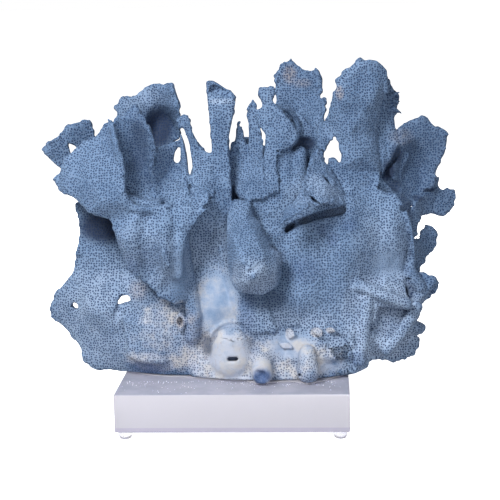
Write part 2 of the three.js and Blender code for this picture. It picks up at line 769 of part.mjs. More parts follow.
    rim: [
      [-44, 29, -6], [-20, 29, -12], [10, 29, -14], [38, 29, -10], [56, 36, -4], [60, 52, 0], [50, 66, 2],
      [34, 72, 0], [24, 86, -2], [6, 92, -4], [-8, 84, -4], [-20, 92, -2], [-38, 84, 0], [-52, 66, 2],
      [-54, 44, 0],
    ],
    folds: [[0, 60, 4], [-28, 60, -8]],
  },
];

// Round branches low on the right, as [x, y, z, radius].
const THUMB_PATH = [[82, -22, 84, 6.5], [96, -24, 82, 6.5], [108, -22, 80, 6], [114, -20, 78, 5]];
const HANGING_FINGER_PATH = [
  [92, -24, 78, 6],
  [90, -25, 64, 5.2],
  [88, -26, 50, 4.6],
  [84.5, -27, 43, 4.2],
];

function footSolid(margin) {
  let foot = stackSolid(FOOT, margin);
  for (const [centre, halves] of FOOT_LUMPS) foot = foot.add(lumpSolid(centre, halves, margin));
  for (const [centre, halves] of FOOT_HOLLOWS) foot = foot.subtract(lumpSolid(centre, halves, -margin));
  return foot;
}

function thumbSolid(margin) {
  return branchSolid(THUMB_PATH, margin).add(branchSolid(HANGING_FINGER_PATH, margin));
}

const growths = [
  { name: "foot", shade: "chalk", make: footSolid },
  { name: "trunk", shade: "mid", make: (margin) => stackSolid(TRUNK, margin) },
  { name: "thumb", shade: "pale", make: thumbSolid },
  ...PLATES.map((plate) => ({
    name: plate.name,
    shade: plate.shade,
    make: (margin) => plateSolid(plate, margin),
  })),
];

// ---- assembly ----
const colony = new THREE.Group();

function addMesh(name, geometry, material) {
  const mesh = new THREE.Mesh(geometry, material);
  mesh.name = name;
  colony.add(mesh);
  return mesh;
}

const block = addMesh("acrylic_block", new THREE.BoxGeometry(BLOCK_SIDE, BLOCK_SIDE, BLOCK_HEIGHT),
  acrylicMaterial());
block.position.z = BLOCK_TOP - BLOCK_HEIGHT / 2;

const bumperProfile = [
  new THREE.Vector2(0, 0),
  new THREE.Vector2(0.66 * BUMPER_RADIUS, 0),
  new THREE.Vector2(0.9 * BUMPER_RADIUS, 0.34 * BUMPER_HEIGHT),
  new THREE.Vector2(BUMPER_RADIUS, 0.75 * BUMPER_HEIGHT),
  new THREE.Vector2(BUMPER_RADIUS, BUMPER_HEIGHT),
  new THREE.Vector2(0, BUMPER_HEIGHT),
];
for (const [side, signX] of [["left", -1], ["right", 1]]) {
  for (const [end, signY] of [["front", -1], ["back", 1]]) {
    const geometry = new THREE.LatheGeometry(bumperProfile, 16);
    geometry.rotateX(Math.PI / 2);
    const bumper = addMesh(`bumper_${end}_${side}`, geometry, acrylicMaterial());
    bumper.position.set(
      signX * (BLOCK_SIDE / 2 - BUMPER_INSET_X),
      signY * (BLOCK_SIDE / 2 - BUMPER_INSET_Y),
      0,
    );
  }
}

// The clear glue that holds the flat cut of the foot to the block.
const GLUE_OUTLINE = [
  [-75, -20], [-58, -31], [-30, -37], [-12, -43], [8, -46], [16, -53], [28, -49], [40, -49], [49, -54],
  [60, -47], [72, -32], [75, -10], [73, 14], [64, 40], [40, 54], [0, 57], [-36, 55], [-58, 42], [-74, 14],
];
const glueShape = new THREE.Shape();
glueShape.setFromPoints(GLUE_OUTLINE.map(([x, y]) => new THREE.Vector2(x, y)));
const glue = addMesh("glue_layer",
  new THREE.ExtrudeGeometry(glueShape, { depth: GLUE_HEIGHT, bevelEnabled: false }), glueMaterial());
glue.position.z = GLUE_BOTTOM;

const placed = [];
for (const growth of growths) {
  let solid = growth.make(0).trimByPlane([0, 0, 1], FOOT_BOTTOM);
  for (const neighbour of placed) solid = solid.subtract(neighbour);
  solid = mainBody(solid).simplify(SIMPLIFY);
  addMesh(`coral_${growth.name}`, geometryFrom(solid), coralMaterial(growth.shade));
  placed.push(growth.make(CUT_CLEARANCE));
}

// The frame: the origin is under the middle of the whole object's box, on the surface it stands on.
const bounds = new THREE.Box3().setFromObject(colony);
const middle = bounds.getCenter(new THREE.Vector3());
colony.position.set(-middle.x, -middle.y, -bounds.min.z);

export default colony;
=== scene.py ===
"""A blue coral colony glued to a clear display block, for Blender 4.5.

The colony is sculpted as one distance field, so that its plates melt into each other at their
forks as they do on a grown skeleton, and is then parted into one closed mesh for each plate,
stick and lump of the frame. Sculpting is in millimetres, measured from the middle of the block's
footprint on the surface it stands on. Finished meshes are in metres, in the frame's own place.
"""

import json
import logging
import math
from collections.abc import Callable
from dataclasses import dataclass
from enum import Enum

import bmesh
import bpy
import numpy as np
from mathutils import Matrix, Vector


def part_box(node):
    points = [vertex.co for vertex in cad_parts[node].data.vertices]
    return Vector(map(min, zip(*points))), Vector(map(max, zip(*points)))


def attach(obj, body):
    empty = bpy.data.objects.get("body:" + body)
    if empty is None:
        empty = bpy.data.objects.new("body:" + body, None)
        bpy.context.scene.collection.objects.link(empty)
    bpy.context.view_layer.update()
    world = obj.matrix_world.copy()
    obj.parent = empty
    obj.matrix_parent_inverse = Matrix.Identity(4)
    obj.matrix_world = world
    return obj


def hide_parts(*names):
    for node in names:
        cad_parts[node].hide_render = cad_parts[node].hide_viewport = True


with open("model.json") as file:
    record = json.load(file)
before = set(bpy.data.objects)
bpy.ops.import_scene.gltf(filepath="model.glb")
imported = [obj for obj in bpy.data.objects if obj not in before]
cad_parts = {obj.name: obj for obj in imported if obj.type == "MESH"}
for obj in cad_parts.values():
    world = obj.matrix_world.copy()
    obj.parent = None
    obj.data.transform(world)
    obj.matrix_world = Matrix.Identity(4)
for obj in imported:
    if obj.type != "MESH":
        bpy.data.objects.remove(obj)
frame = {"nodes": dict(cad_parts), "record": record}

import openvdb as vdb
from mathutils import Matrix, Vector

LOG = logging.getLogger("coral")
MM = 0.001
BODY = "root"

Point = tuple[float, float, float]
Span = tuple[float, float]
Ramp = tuple[float, float] | tuple[float, float, Span]
Noise = tuple[float, float, float]
Window = tuple[slice, slice, slice]
Socket = bpy.types.NodeSocket


def smoothstep(values: np.ndarray, low: float, high: float) -> np.ndarray:
    """Eased ramp of the values from 0 at low to 1 at high."""
    t = np.clip((values - low) / (high - low), 0.0, 1.0)
    return t * t * (3.0 - 2.0 * t)


def new_object(name: str, data: bpy.types.ID) -> bpy.types.Object:
    """Puts data in the scene.

    Args:
        name: The object's name.
        data: Its mesh, lamp or camera.

    Returns:
        The new object.
    """
    made = bpy.data.objects.new(name, data)
    bpy.context.scene.collection.objects.link(made)
    return made


# ---------------------------------------------------------------------------------------------
# Node trees
# ---------------------------------------------------------------------------------------------


class Tree:
    """Short calls for building a node tree."""

    def __init__(self, tree: bpy.types.NodeTree) -> None:
        """Wraps a node tree.

        Args:
            tree: The tree that nodes are added to.
        """
        self.tree = tree

    def node(self, kind: str, inputs: dict | None = None, **settings: object) -> bpy.types.Node:
        """Adds one node.

        Args:
            kind: The node's type name.
            inputs: Values or sockets for its inputs, by name or number.
            settings: Properties of the node.

        Returns:
            The new node.
        """
        made = self.tree.nodes.new(kind)
        for name, value in settings.items():
            setattr(made, name, value)
        for name, value in (inputs or {}).items():
            self.feed(made.inputs[name], value)
        return made

    def feed(self, socket: Socket, value: object) -> None:
        """Links a socket into an input, or sets the input's value.

        Args:
            socket: The input.
            value: A socket, a number or a colour.
        """
        if isinstance(value, bpy.types.NodeSocket):
            self.tree.links.new(value, socket)
        elif isinstance(value, tuple) and len(value) == 3 and socket.type == "RGBA":
            socket.default_value = (*value, 1.0)
        else:
            socket.default_value = value

    def math(self, operation: str, *values: object, clamp: bool = False) -> Socket:
        """Output of a Math node on the given values."""
        made = self.node("ShaderNodeMath", dict(enumerate(values)), operation=operation, use_clamp=clamp)
        return made.outputs[0]

    def ramp(self, value: object, low: float, high: float, to: Span = (0.0, 1.0)) -> Socket:
        """Eased ramp of a value from to[0] at low to to[1] at high."""
        names = {"Value": value, "From Min": low, "From Max": high, "To Min": to[0], "To Max": to[1]}
        return self.node("ShaderNodeMapRange", names, interpolation_type="SMOOTHSTEP").outputs["Result"]

    def mix(self, share: object, first: object, second: object) -> Socket:
        """Colour between first and second, at a share of 0 to 1."""
        made = self.node("ShaderNodeMix", {0: share, 6: first, 7: second}, data_type="RGBA")
        return made.outputs[2]

    def blend(self, share: object, first: object, second: object) -> Socket:
        """Number between first and second, at a share of 0 to 1."""
        made = self.node("ShaderNodeMix", {0: share, 2: first, 3: second}, data_type="FLOAT")
        return made.outputs[0]

    def noise(self, place: object, scale: float, detail: float, rough: float) -> Socket:
        """Height of a noise pattern, about 0.5 on average."""
        inputs = {"Vector": place, "Scale": scale, "Detail": detail, "Roughness": rough}
        return self.node("ShaderNodeTexNoise", inputs).outputs["Fac"]

    def attribute(self, name: str) -> Socket:
        """A number painted on the mesh."""
        return self.node("ShaderNodeAttribute", attribute_name=name).outputs["Fac"]


def new_material(name: str) -> tuple[bpy.types.Material, Tree, bpy.types.Node, Socket]:
    """Starts a material with one principled shader.

    Args:
        name: The material's name.

    Returns:
        The material, its tree, the shader, and the Object coordinates in metres.
    """
    material = bpy.data.materials.new(name)
    material.use_nodes = True
    material.node_tree.nodes.clear()
    tree = Tree(material.node_tree)
    shader = tree.node("ShaderNodeBsdfPrincipled")
    tree.node("ShaderNodeOutputMaterial", {"Surface": shader.outputs[0]})
    place = tree.node("ShaderNodeTexCoord").outputs["Object"]
    return material, tree, shader, place


# ---------------------------------------------------------------------------------------------
# Finishes
# ---------------------------------------------------------------------------------------------


class Mask(Enum):
    """Numbers painted on each coral vertex, which its finish reads."""

    RIM = "rim"
    # Painted shade in hollows, cracks and under overhangs.
    CAVITY_SHADE = "cavity_shade"
    CHALK = "chalk"
    TAN = "tan"
    DEEP = "deep"
    BARE = "bare"
    SHADE = "shade"
    # Pale colour, and painted light on shaded parts.
    PALE_AND_LIT = "pale"
    # Painted highlight on thin edges.
    EDGE = "edge"


@dataclass(frozen=True)
class CoralFinish:
    """Matte limy skeleton, steel blue and finely pored, chalky and worn at the base.

    Colours are linear. The pitch is in millimetres and the relief in metres. A noise is its scale,
    detail and roughness. A ramp is where it starts and ends, and the two values that it joins.
    """

    name: str = "pored_blue_coral"
    light: Point = (0.114, 0.190, 0.320)
    dark: Point = (0.050, 0.102, 0.198)
    rim: Point = (0.066, 0.128, 0.240)
    chalk: Point = (0.345, 0.380, 0.465)
    cream: Point = (0.385, 0.385, 0.400)
    tan: Point = (0.300, 0.240, 0.200)
    vein: Point = (0.235, 0.290, 0.385)
    # Pale colour, also used as painted light on shaded parts.
    pale: Point = (0.300, 0.390, 0.540)
    deep: Point = (0.034, 0.072, 0.180)
    pore: Point = (0.010, 0.028, 0.082)
    # Colour of the painted shade.
    cavity_shade: Point = (0.022, 0.036, 0.074)
    dust: Point = (0.40, 0.46, 0.58)
    pitch: float = 1.75
    fine_pitch: float = 0.72
    pore_size: float = 0.335
    pore_spread: Span = (0.86, 1.1)
    pore_edge: Span = (-0.05, 0.06)
    scatter: float = 0.72
    septum: float = 0.135
    broad: Noise = (32.0, 2.0, 0.5)
    patches: Noise = (85.0, 3.0, 0.6)
    veins: Noise = (160.0, 4.0, 0.7)
    flecks: Noise = (420.0, 2.0, 0.6)
    grain: Noise = (1500.0, 2.0, 0.6)
    size_ramp: Ramp = (0.35, 0.65)
    fine_ramp: Ramp = (0.35, 0.75)
    bare_ramp: Ramp = (0.60, 0.72, (0.0, 0.55))
    bareness: float = 0.95
    dark_ramp: Ramp = (0.36, 0.66)
    light_ramp: Ramp = (0.3, 0.7, (0.0, 0.35))
    pale_ramp: Ramp = (0.3, 0.65, (0.45, 0.95))
    shade_depth: float = 0.8
    highlight_depth: float = 0.25
    rim_depth: float = 0.5
    chalk_ramp: Ramp = (0.30, 0.85)
    chalk_raggedness: float = 1.2
    cream_ramp: Ramp = (0.45, 0.66)
    vein_ramp: Ramp = (0.46, 0.70, (0.0, 0.6))
    speck_ramp: Ramp = (0.55, 0.75, (0.0, 0.35))
    tan_ramp: Ramp = (0.3, 0.7, (0.45, 1.0))
    dust_ramp: Ramp = (0.35, 0.75, (0.0, 0.22))
    pore_depth: float = 0.9
    chalky_pore_depth: float = 0.62
    matte_ramp: Ramp = (0.3, 0.7, (0.72, 0.92))
    shine: float = 0.25
    grain_height: float = 0.22
    fleck_height: float = 0.8
    relief: float = 0.0005
    relief_strength: float = 0.75

    def pores(self, tree: Tree, skin: object, pitch: float, size: object) -> Socket:
        """Round dots spread evenly over the skin.

        Args:
            tree: The material's tree.
            skin: The skin map, in millimetres.
            pitch: Distance between pores in millimetres.
            size: Radius of a pore as a share of the pitch.

        Returns:
            1 inside a pore and 0 between pores.
        """
        inputs = {"Vector": skin, "Scale": 1.0 / pitch, "Randomness": self.scatter}
        cells = tree.node("ShaderNodeTexVoronoi", inputs, voronoi_dimensions="2D")
        walls = tree.node(
            "ShaderNodeTexVoronoi", inputs, voronoi_dimensions="2D", feature="DISTANCE_TO_EDGE"
        )
        inside = tree.math("SUBTRACT", size, cells.outputs["Distance"])
        clear = tree.math("SUBTRACT", walls.outputs["Distance"], self.septum)
        return tree.ramp(tree.math("MINIMUM", inside, clear), *self.pore_edge)

    def chalk_coat(self, tree: Tree, place: Socket, patches: Socket, flecks: Socket) -> Socket:
        """Colour of worn, limy places.

        Args:
            tree: The material's tree.
            place: Object coordinates.
            patches: Noise in patches about a centimetre wide.
            flecks: Noise in flecks about a millimetre wide.

        Returns:
            The colour.
        """
        veins = tree.noise(place, *self.veins)
        chalk = tree.mix(tree.ramp(patches, *self.cream_ramp), self.chalk, self.cream)
        chalk = tree.mix(tree.ramp(veins, *self.vein_ramp), chalk, self.vein)
        return tree.mix(tree.ramp(flecks, *self.speck_ramp), chalk, self.tan)

    def build(self) -> bpy.types.Material:
        """Makes the material.

        Returns:
            The material.
        """
        material, tree, shader, place = new_material(self.name)
        mask = {m: tree.attribute(m.value) for m in Mask}
        skin = tree.node("ShaderNodeUVMap", uv_map=SKIN_MAP).outputs["UV"]
        broad = tree.noise(place, *self.broad)
        patches = tree.noise(place, *self.patches)
        grain = tree.noise(place, *self.grain)
        flecks = tree.noise(place, *self.flecks)

        small, large = (self.pore_size * share for share in self.pore_spread)
        bare = tree.math("ADD", mask[Mask.BARE], tree.ramp(patches, *self.bare_ramp), clamp=True)
        wanted = tree.blend(tree.ramp(flecks, *self.size_ramp), small, large)
        kept = tree.math("SUBTRACT", 1.0, tree.math("MULTIPLY", bare, self.bareness))
        wanted = tree.math("MULTIPLY", wanted, kept)
        coarse = self.pores(tree, skin, self.pitch, wanted)
        fine = self.pores(tree, skin, self.pitch * self.fine_pitch, wanted)
        pores = tree.blend(tree.ramp(mask[Mask.RIM], *self.fine_ramp), coarse, fine)

        colour = tree.mix(tree.ramp(broad, *self.dark_ramp), self.light, self.dark)
        colour = tree.mix(tree.ramp(patches, *self.light_ramp), colour, self.light)
        colour = tree.mix(tree.math("MULTIPLY", mask[Mask.SHADE], self.shade_depth), colour, self.dark)
        # Pale colour, and painted light that lightens shaded undersides and plates.
        pale_and_lit_share = tree.math("MULTIPLY", mask[Mask.PALE_AND_LIT], tree.ramp(patches, *self.pale_ramp))
        colour = tree.mix(pale_and_lit_share, colour, self.pale)
        # Painted highlight: thin edges are lightened.
        colour = tree.mix(tree.math("MULTIPLY", mask[Mask.EDGE], self.highlight_depth), colour, self.light)
        colour = tree.mix(tree.math("MULTIPLY", mask[Mask.RIM], self.rim_depth), colour, self.rim)
        ragged = tree.math("MULTIPLY", tree.math("SUBTRACT", patches, 0.5), self.chalk_raggedness)
        chalky = tree.ramp(tree.math("ADD", mask[Mask.CHALK], ragged), *self.chalk_ramp)
        colour = tree.mix(chalky, colour, self.chalk_coat(tree, place, patches, flecks))
        colour = tree.mix(mask[Mask.DEEP], colour, self.deep)
        tan = tree.math("MULTIPLY", mask[Mask.TAN], tree.ramp(flecks, *self.tan_ramp))
        colour = tree.mix(tan, colour, self.tan)
        colour = tree.mix(tree.ramp(grain, *self.dust_ramp), colour, self.dust)
        # Painted shade: hollows, cracks and places under overhangs are darkened.
        colour = tree.mix(mask[Mask.CAVITY_SHADE], colour, self.cavity_shade)
        sunk = tree.math("MULTIPLY", pores, tree.blend(chalky, self.pore_depth, self.chalky_pore_depth))
        colour = tree.mix(sunk, colour, self.pore)
        tree.feed(shader.inputs["Base Color"], colour)
        tree.feed(shader.inputs["Roughness"], tree.ramp(grain, *self.matte_ramp))
        shader.inputs["Specular IOR Level"].default_value = self.shine

        height = tree.math("SUBTRACT", tree.math("MULTIPLY", grain, self.grain_height), pores)
        height = tree.math("ADD", height, tree.math("MULTIPLY", flecks, self.fleck_height))
        depth = {"Height": height, "Strength": self.relief_strength, "Distance": self.relief}
        tree.feed(shader.inputs["Normal"], tree.node("ShaderNodeBump", depth).outputs["Normal"])
        return material


@dataclass(frozen=True)
class ClearFinish:
    """Polished clear plastic, tinted; it may have a darker band at its foot and painted shade on its lid.
    Heights are in metres.
    """

    name: str
    tint: Point
    roughness: float = 0.02
    refraction: float = 1.49
    wear: float = 0.01
    clarity: float = 1.0
    # Colour of the painted shade on the lid.
    top: Point | None = None
    low_band: Point | None = None
    low: float = 0.0
    high: float = 0.0
    band_edge: Span = (0.0036, 0.0030)
    lid_edge: Span = (0.0004, 0.0001)
    smears: Noise = (60.0, 4.0, 0.65)
    lid_shade_ramp: Ramp = (0.40, 0.62, (1.0, 0.72))
    wear_start: float = 0.45
    wear_end: float = 0.75

    def build(self) -> bpy.types.Material:
        """Makes the material.

        Returns:
            The material.
        """
        material, tree, shader, place = new_material(self.name)
        smears = tree.noise(place, *self.smears)
        colour: object = self.tint
        height = tree.node("ShaderNodeSeparateXYZ", {"Vector": place}).outputs["Z"]
        if self.low_band:
            band = tree.ramp(height, self.low + self.band_edge[0], self.low + self.band_edge[1])
            colour = tree.mix(band, colour, self.low_band)
        # Painted shade darkens the lid, broken by smears.
        if self.top:
            lid_shade = tree.ramp(smears, *self.lid_shade_ramp)
            lid = tree.ramp(height, self.high - self.lid_edge[0], self.high - self.lid_edge[1])
            colour = tree.mix(tree.math("MULTIPLY", lid, lid_shade), colour, self.top)
        tree.feed(shader.inputs["Base Color"], colour)
        shader.inputs["IOR"].default_value = self.refraction
        shader.inputs["Transmission Weight"].default_value = self.clarity
        worn = (self.roughness, self.roughness + self.wear)
        tree.feed(shader.inputs["Roughness"], tree.ramp(smears, self.wear_start, self.wear_end, worn))
        return material


@dataclass(frozen=True)
class FlakeFinish:
    """Shiny pale flakes that catch the light in the glue."""

    name: str = "glue_flakes"
    colour: Point = (0.92, 0.93, 0.98)
    tinted: Point = (0.62, 0.66, 0.86)
    spots: Noise = (900.0, 1.0, 0.5)
    tint_ramp: Ramp = (0.4, 0.6)
    matte_ramp: Ramp = (0.3, 0.7, (0.12, 0.3))

    def build(self) -> bpy.types.Material:
        """Makes the material.

        Returns:
            The material.
        """
        material, tree, shader, place = new_material(self.name)
        spots = tree.noise(place, *self.spots)
        colour = tree.mix(tree.ramp(spots, *self.tint_ramp), self.colour, self.tinted)
        tree.feed(shader.inputs["Base Color"], colour)
        tree.feed(shader.inputs["Roughness"], tree.ramp(spots, *self.matte_ramp))
        return material


@dataclass(frozen=True)
class FloorFinish:
    """Pale seamless studio floor."""

    name: str = "studio_floor"
    colour: Point = (0.93, 0.93, 0.94)
    roughness: float = 0.9
    glow: float = 0.8

    def build(self) -> bpy.types.Material:
        """Makes the material.

        Returns:
            The material.
        """
        material, _, shader, _ = new_material(self.name)
        shader.inputs["Base Color"].default_value = (*self.colour, 1.0)
        shader.inputs["Roughness"].default_value = self.roughness
        shader.inputs["Emission Color"].default_value = (1.0, 1.0, 1.0, 1.0)
        shader.inputs["Emission Strength"].default_value = self.glow
        return material


# ---------------------------------------------------------------------------------------------
# Distance fields
# ---------------------------------------------------------------------------------------------

SKIN_MAP = "skin"
NOISE_GAIN = 2.4
BLUR_REACH = 2.5
EMPTY = 1e9


@dataclass(frozen=True)
class Lattice:
    """Evenly spaced sample points in a box, in millimetres."""

    low: Point
    step: float
    shape: tuple[int, int, int]

    def axis(self, k: int) -> np.ndarray:
        """Sample places along one axis."""
        return (self.low[k] + self.step * np.arange(self.shape[k])).astype(np.float32)

    def window(self, low: Point, high: Point) -> Window:
        """Range of samples that covers a box, cut off at the lattice's sides.

        Args:
            low: The box's lowest corner.
            high: Its highest corner.

        Returns:
            A slice for each axis.
        """
        spans = []
        for k in range(3):
            first = int(math.floor((low[k] - self.low[k]) / self.step))
            last = int(math.ceil((high[k] - self.low[k]) / self.step)) + 1
            spans.append(slice(max(first, 0), min(last, self.shape[k])))
        return tuple(spans)

    def sample(self, values: np.ndarray, points: np.ndarray) -> np.ndarray:
        """Values of a field at points, by linear interpolation.

        Args:
            values: The field, one number for each sample point.
            points: Places in millimetres, one in each row.

        Returns:
            One number for each point.
        """
        place = (points - np.array(self.low)) / self.step
        last = np.array(self.shape) - 2
        base = np.clip(np.floor(place).astype(int), 0, last)
        part = np.clip(place - base, 0.0, 1.0)
        total = np.zeros(len(points))
        for corner in np.ndindex(2, 2, 2):
            offset = np.array(corner)
            weight = np.prod(np.where(offset == 1, part, 1.0 - part), axis=1)
            at = base + offset
            total += weight * values[at[:, 0], at[:, 1], at[:, 2]]
        return total

    def noise(self, wave: float | Point, seed: int) -> np.ndarray:
        """Smooth random field, mostly between -1 and 1.

        Args:
            wave: Typical distance between a rise and the next, in millimetres, for all axes or each.
            seed: Start of the random draws.

        Returns:
            One number for each sample point.
        """
        spacing = np.broadcast_to(np.array(wave) / 2.0, 3)
        knots = [int(self.step * n / gap) + 5 for n, gap in zip(self.shape, spacing)]
        values = np.random.default_rng(seed).uniform(-1.0, 1.0, knots).astype(np.float32)
        for k in range(3):
            place = self.step * np.arange(self.shape[k]) / spacing[k] + 1.0
            base = np.floor(place).astype(int)
            t = place - base
            # Each sample mixes four knots, with the weights of a cubic B-spline.
            weights = np.zeros((self.shape[k], knots[k]), np.float32)
            rows = np.arange(self.shape[k])
            weights[rows, base - 1] = (1 - t) ** 3 / 6
            weights[rows, base] = (3 * t**3 - 6 * t**2 + 4) / 6
            weights[rows, base + 1] = (-3 * t**3 + 3 * t**2 + 3 * t + 1) / 6
            weights[rows, base + 2] = t**3 / 6
            values = np.moveaxis(np.tensordot(weights, values, axes=(1, k)), 0, k)
        return values * NOISE_GAIN


def blurred(values: np.ndarray, sigma: float) -> np.ndarray:
    """Gaussian blur of a field.

    Args:
        values: The field.
        sigma: The blur's width in samples.

    Returns:
        The blurred field.
    """
    reach = int(math.ceil(BLUR_REACH * sigma))
    kernel = np.exp(-0.5 * (np.arange(-reach, reach + 1) / sigma) ** 2)
    kernel = (kernel / kernel.sum()).astype(np.float32)
    for k in range(3):
        padding = [(reach, reach) if a == k else (0, 0) for a in range(3)]
        padded = np.pad(values, padding, mode="edge")
        values = np.zeros_like(values)
        size = values.shape[k]
        for i, weight in enumerate(kernel):
            window = [slice(i, i + size) if a == k else slice(None) for a in range(3)]
            values += weight * padded[tuple(window)]
    return values


def melted(first: np.ndarray, second: np.ndarray, reach: float) -> np.ndarray:
    """Union of two distance fields with a fillet as wide as reach."""
    overlap = np.maximum(reach - np.abs(first - second), 0.0) / reach
    return np.minimum(first, second) - overlap * overlap * reach / 4.0


def carved(body: np.ndarray, tool: np.ndarray, reach: float) -> np.ndarray:
    """A field with a tool's field taken out, its edge rounded as wide as reach."""
    return -melted(-body, tool, reach)


@dataclass(frozen=True)
class RoundedSurface:
    """Finely split triangles bent to follow a coarse mesh's own smooth normals."""

    crease: float = math.radians(42.0)
    cuts: int = 4
    fullness: float = 0.5
    weld: float = 1e-6

    def build(self, source: bpy.types.Object) -> tuple[np.ndarray, np.ndarray]:
        """Bends a node's mesh.

        Args:
            source: The node's object, in metres.

        Returns:
            Points in millimetres and triangles.
        """
        shape = bmesh.new()
        shape.from_mesh(source.data)
        bmesh.ops.remove_doubles(shape, verts=shape.verts, dist=self.weld)
        bmesh.ops.dissolve_degenerate(shape, edges=shape.edges, dist=self.weld)
        bmesh.ops.triangulate(shape, faces=shape.faces)
        mesh = bpy.data.meshes.new("rounding")
        shape.to_mesh(mesh)
        shape.free()
        mesh.shade_smooth()
        mesh.set_sharp_from_angle(angle=self.crease)
        count = len(mesh.polygons)
        normals = np.empty(count * 9, np.float32)
        mesh.corner_normals.foreach_get("vector", normals)
        places = np.empty(len(mesh.vertices) * 3, np.float32)
        mesh.vertices.foreach_get("co", places)
        corners = np.empty(count * 3, np.int32)
        mesh.loops.foreach_get("vertex_index", corners)
        bpy.data.meshes.remove(mesh)
        p = places.reshape(-1, 3)[corners].reshape(count, 3, 3) / MM
        n = normals.reshape(count, 3, 3)
        return self.patch(p, n)

    def patch(self, p: np.ndarray, n: np.ndarray) -> tuple[np.ndarray, np.ndarray]:
        """Cubic patch over each triangle.

        Args:
            p: Corners of each triangle.
            n: Normals at those corners.

        Returns:
            Points and triangles of all patches.
        """

        def near(i: int, j: int) -> np.ndarray:
            """Control point a third of the way from corner i to corner j."""
            lift = np.sum((p[:, j] - p[:, i]) * n[:, i], axis=1, keepdims=True)
            return (2 * p[:, i] + p[:, j] - lift * n[:, i]) / 3

        edges = {(i, j): near(i, j) for i in range(3) for j in range(3) if i != j}
        mean = sum(edges.values()) / 6
        centre = mean + (mean - p.mean(axis=1)) / 2
        rows, index = [], {}
        for i in range(self.cuts + 1):
            for j in range(self.cuts + 1 - i):
                index[i, j] = len(rows)
                b, c = i / self.cuts, j / self.cuts
                a = 1 - b - c
                share = (a, b, c)
                point = sum(p[:, k] * share[k] ** 3 for k in range(3)) + 6 * centre * a * b * c
                for (k, m), control in edges.items():
                    point = point + 3 * control * share[k] ** 2 * share[m]
                flat = sum(p[:, k] * share[k] for k in range(3))
                rows.append(flat + self.fullness * (point - flat))
        small = []
        for i in range(self.cuts):
            for j in range(self.cuts - i):
                small.append((index[i, j], index[i + 1, j], index[i, j + 1]))
                if i + j < self.cuts - 1:
                    small.append((index[i + 1, j], index[i + 1, j + 1], index[i, j + 1]))
        points = np.stack(rows, axis=1)
        starts = np.arange(len(points))[:, None, None] * len(rows)
        triangles = (starts + np.array(small)[None]).reshape(-1, 3)
        return points.reshape(-1, 3).astype(np.float32), triangles.astype(np.uint32)


# ---------------------------------------------------------------------------------------------
# Work on the coral
# ---------------------------------------------------------------------------------------------


class Touch(Enum):
    """What a stroke does to the coral."""

    CUT = "cut"
    BUILD = "build"


def rod_distance(grid: np.ndarray, path: np.ndarray, radius: float, tip: float) -> np.ndarray:
    """Distance from each place of a grid to a rod along straight runs.

    Args:
        grid: The places.
        path: Corners of the runs.
        radius: The rod's radius at the first corner.
        tip: Its radius at the last corner.

    Returns:
        One distance for each place, below zero inside the rod.
    """
    nearest = np.full(grid.shape[:3], EMPTY, np.float32)
    widths = np.linspace(radius, tip, len(path))
    for a, b, wide, thin in zip(path, path[1:], widths, widths[1:]):
        along = b - a
        t = np.clip(((grid - a) @ along) / max(float(along @ along), 1e-6), 0.0, 1.0)
        away = np.linalg.norm(grid - a - t[..., None] * along, axis=-1)
        nearest = np.minimum(nearest, away - wide - (thin - wide) * t)
    return nearest


@dataclass(frozen=True)
class Stroke:
    """A rounded tool mark along a path, in millimetres from the middle of the block's foot."""

    name: str
    touch: Touch
    path: tuple[Point, ...]
    radius: float
    soft: float = 1.0
    tip: float | None = None

    def lines(self) -> list[np.ndarray]:
        """Paths that the tool runs along."""
        return [np.array(self.path, np.float32)]

    def field(self, lattice: Lattice, folded: Callable) -> tuple[Window, np.ndarray]:
        """Distance to the mark near its paths.

        Args:
            lattice: The sample points.
            folded: Moves points in the way that the plates are fluted.

        Returns:
            The window of samples that the mark reaches, and its field there.
        """
        lines = [folded(line).astype(np.float32) for line in self.lines()]
        places = np.concatenate(lines)
        reach = max(self.radius, self.tip or 0.0) + self.soft + 2 * lattice.step
        window = lattice.window(places.min(axis=0) - reach, places.max(axis=0) + reach)
        axes = [lattice.axis(k)[window[k]] for k in range(3)]
        grid = np.stack(np.meshgrid(*axes, indexing="ij"), axis=-1)
        tip = self.radius if self.tip is None else self.tip
        return window, np.min([rod_distance(grid, line, self.radius, tip) for line in lines], axis=0)


@dataclass(frozen=True)
class Web(Stroke):
    """A thin wall between the stroke's path and a second path."""

    root: tuple[Point, ...] = ()
    stops: int = 8

    def lines(self) -> list[np.ndarray]:
        """Paths that the tool runs along.

        Returns:
            Lines side by side from the path to the root.
        """
        rim, root = (even_points(np.array(p, np.float32), self.stops) for p in (self.path, self.root))
        width = float(np.linalg.norm(rim - root, axis=1).max())
        count = max(2, int(width / self.radius) + 2)
        return [rim + (root - rim) * share for share in np.linspace(0.0, 1.0, count)]


def even_points(path: np.ndarray, count: int) -> np.ndarray:
    """Points at equal spacing along a path.

    Args:
        path: Corners of the path.
        count: Number of points.

    Returns:
        The points.
    """
    run = np.concatenate([[0.0], np.cumsum(np.linalg.norm(np.diff(path, axis=0), axis=1))])
    stops = np.linspace(0.0, run[-1], count)
    return np.stack([np.interp(stops, run, path[:, k]) for k in range(3)], axis=1).astype(np.float32)


@dataclass(frozen=True)
class Bend:
    """A soft push on part of one node, in millimetres from the middle of the block's foot."""

    node: str
    centre: Point
    size: Point
    push: Point
    edge: Span = (0.5, 1.0)

    def shift(self, points: np.ndarray) -> np.ndarray:
        """How far each point is pushed."""
        away = np.linalg.norm((points - np.array(self.centre)) / np.array(self.size), axis=1)
        return (1.0 - smoothstep(away, *self.edge))[:, None] * np.array(self.push)


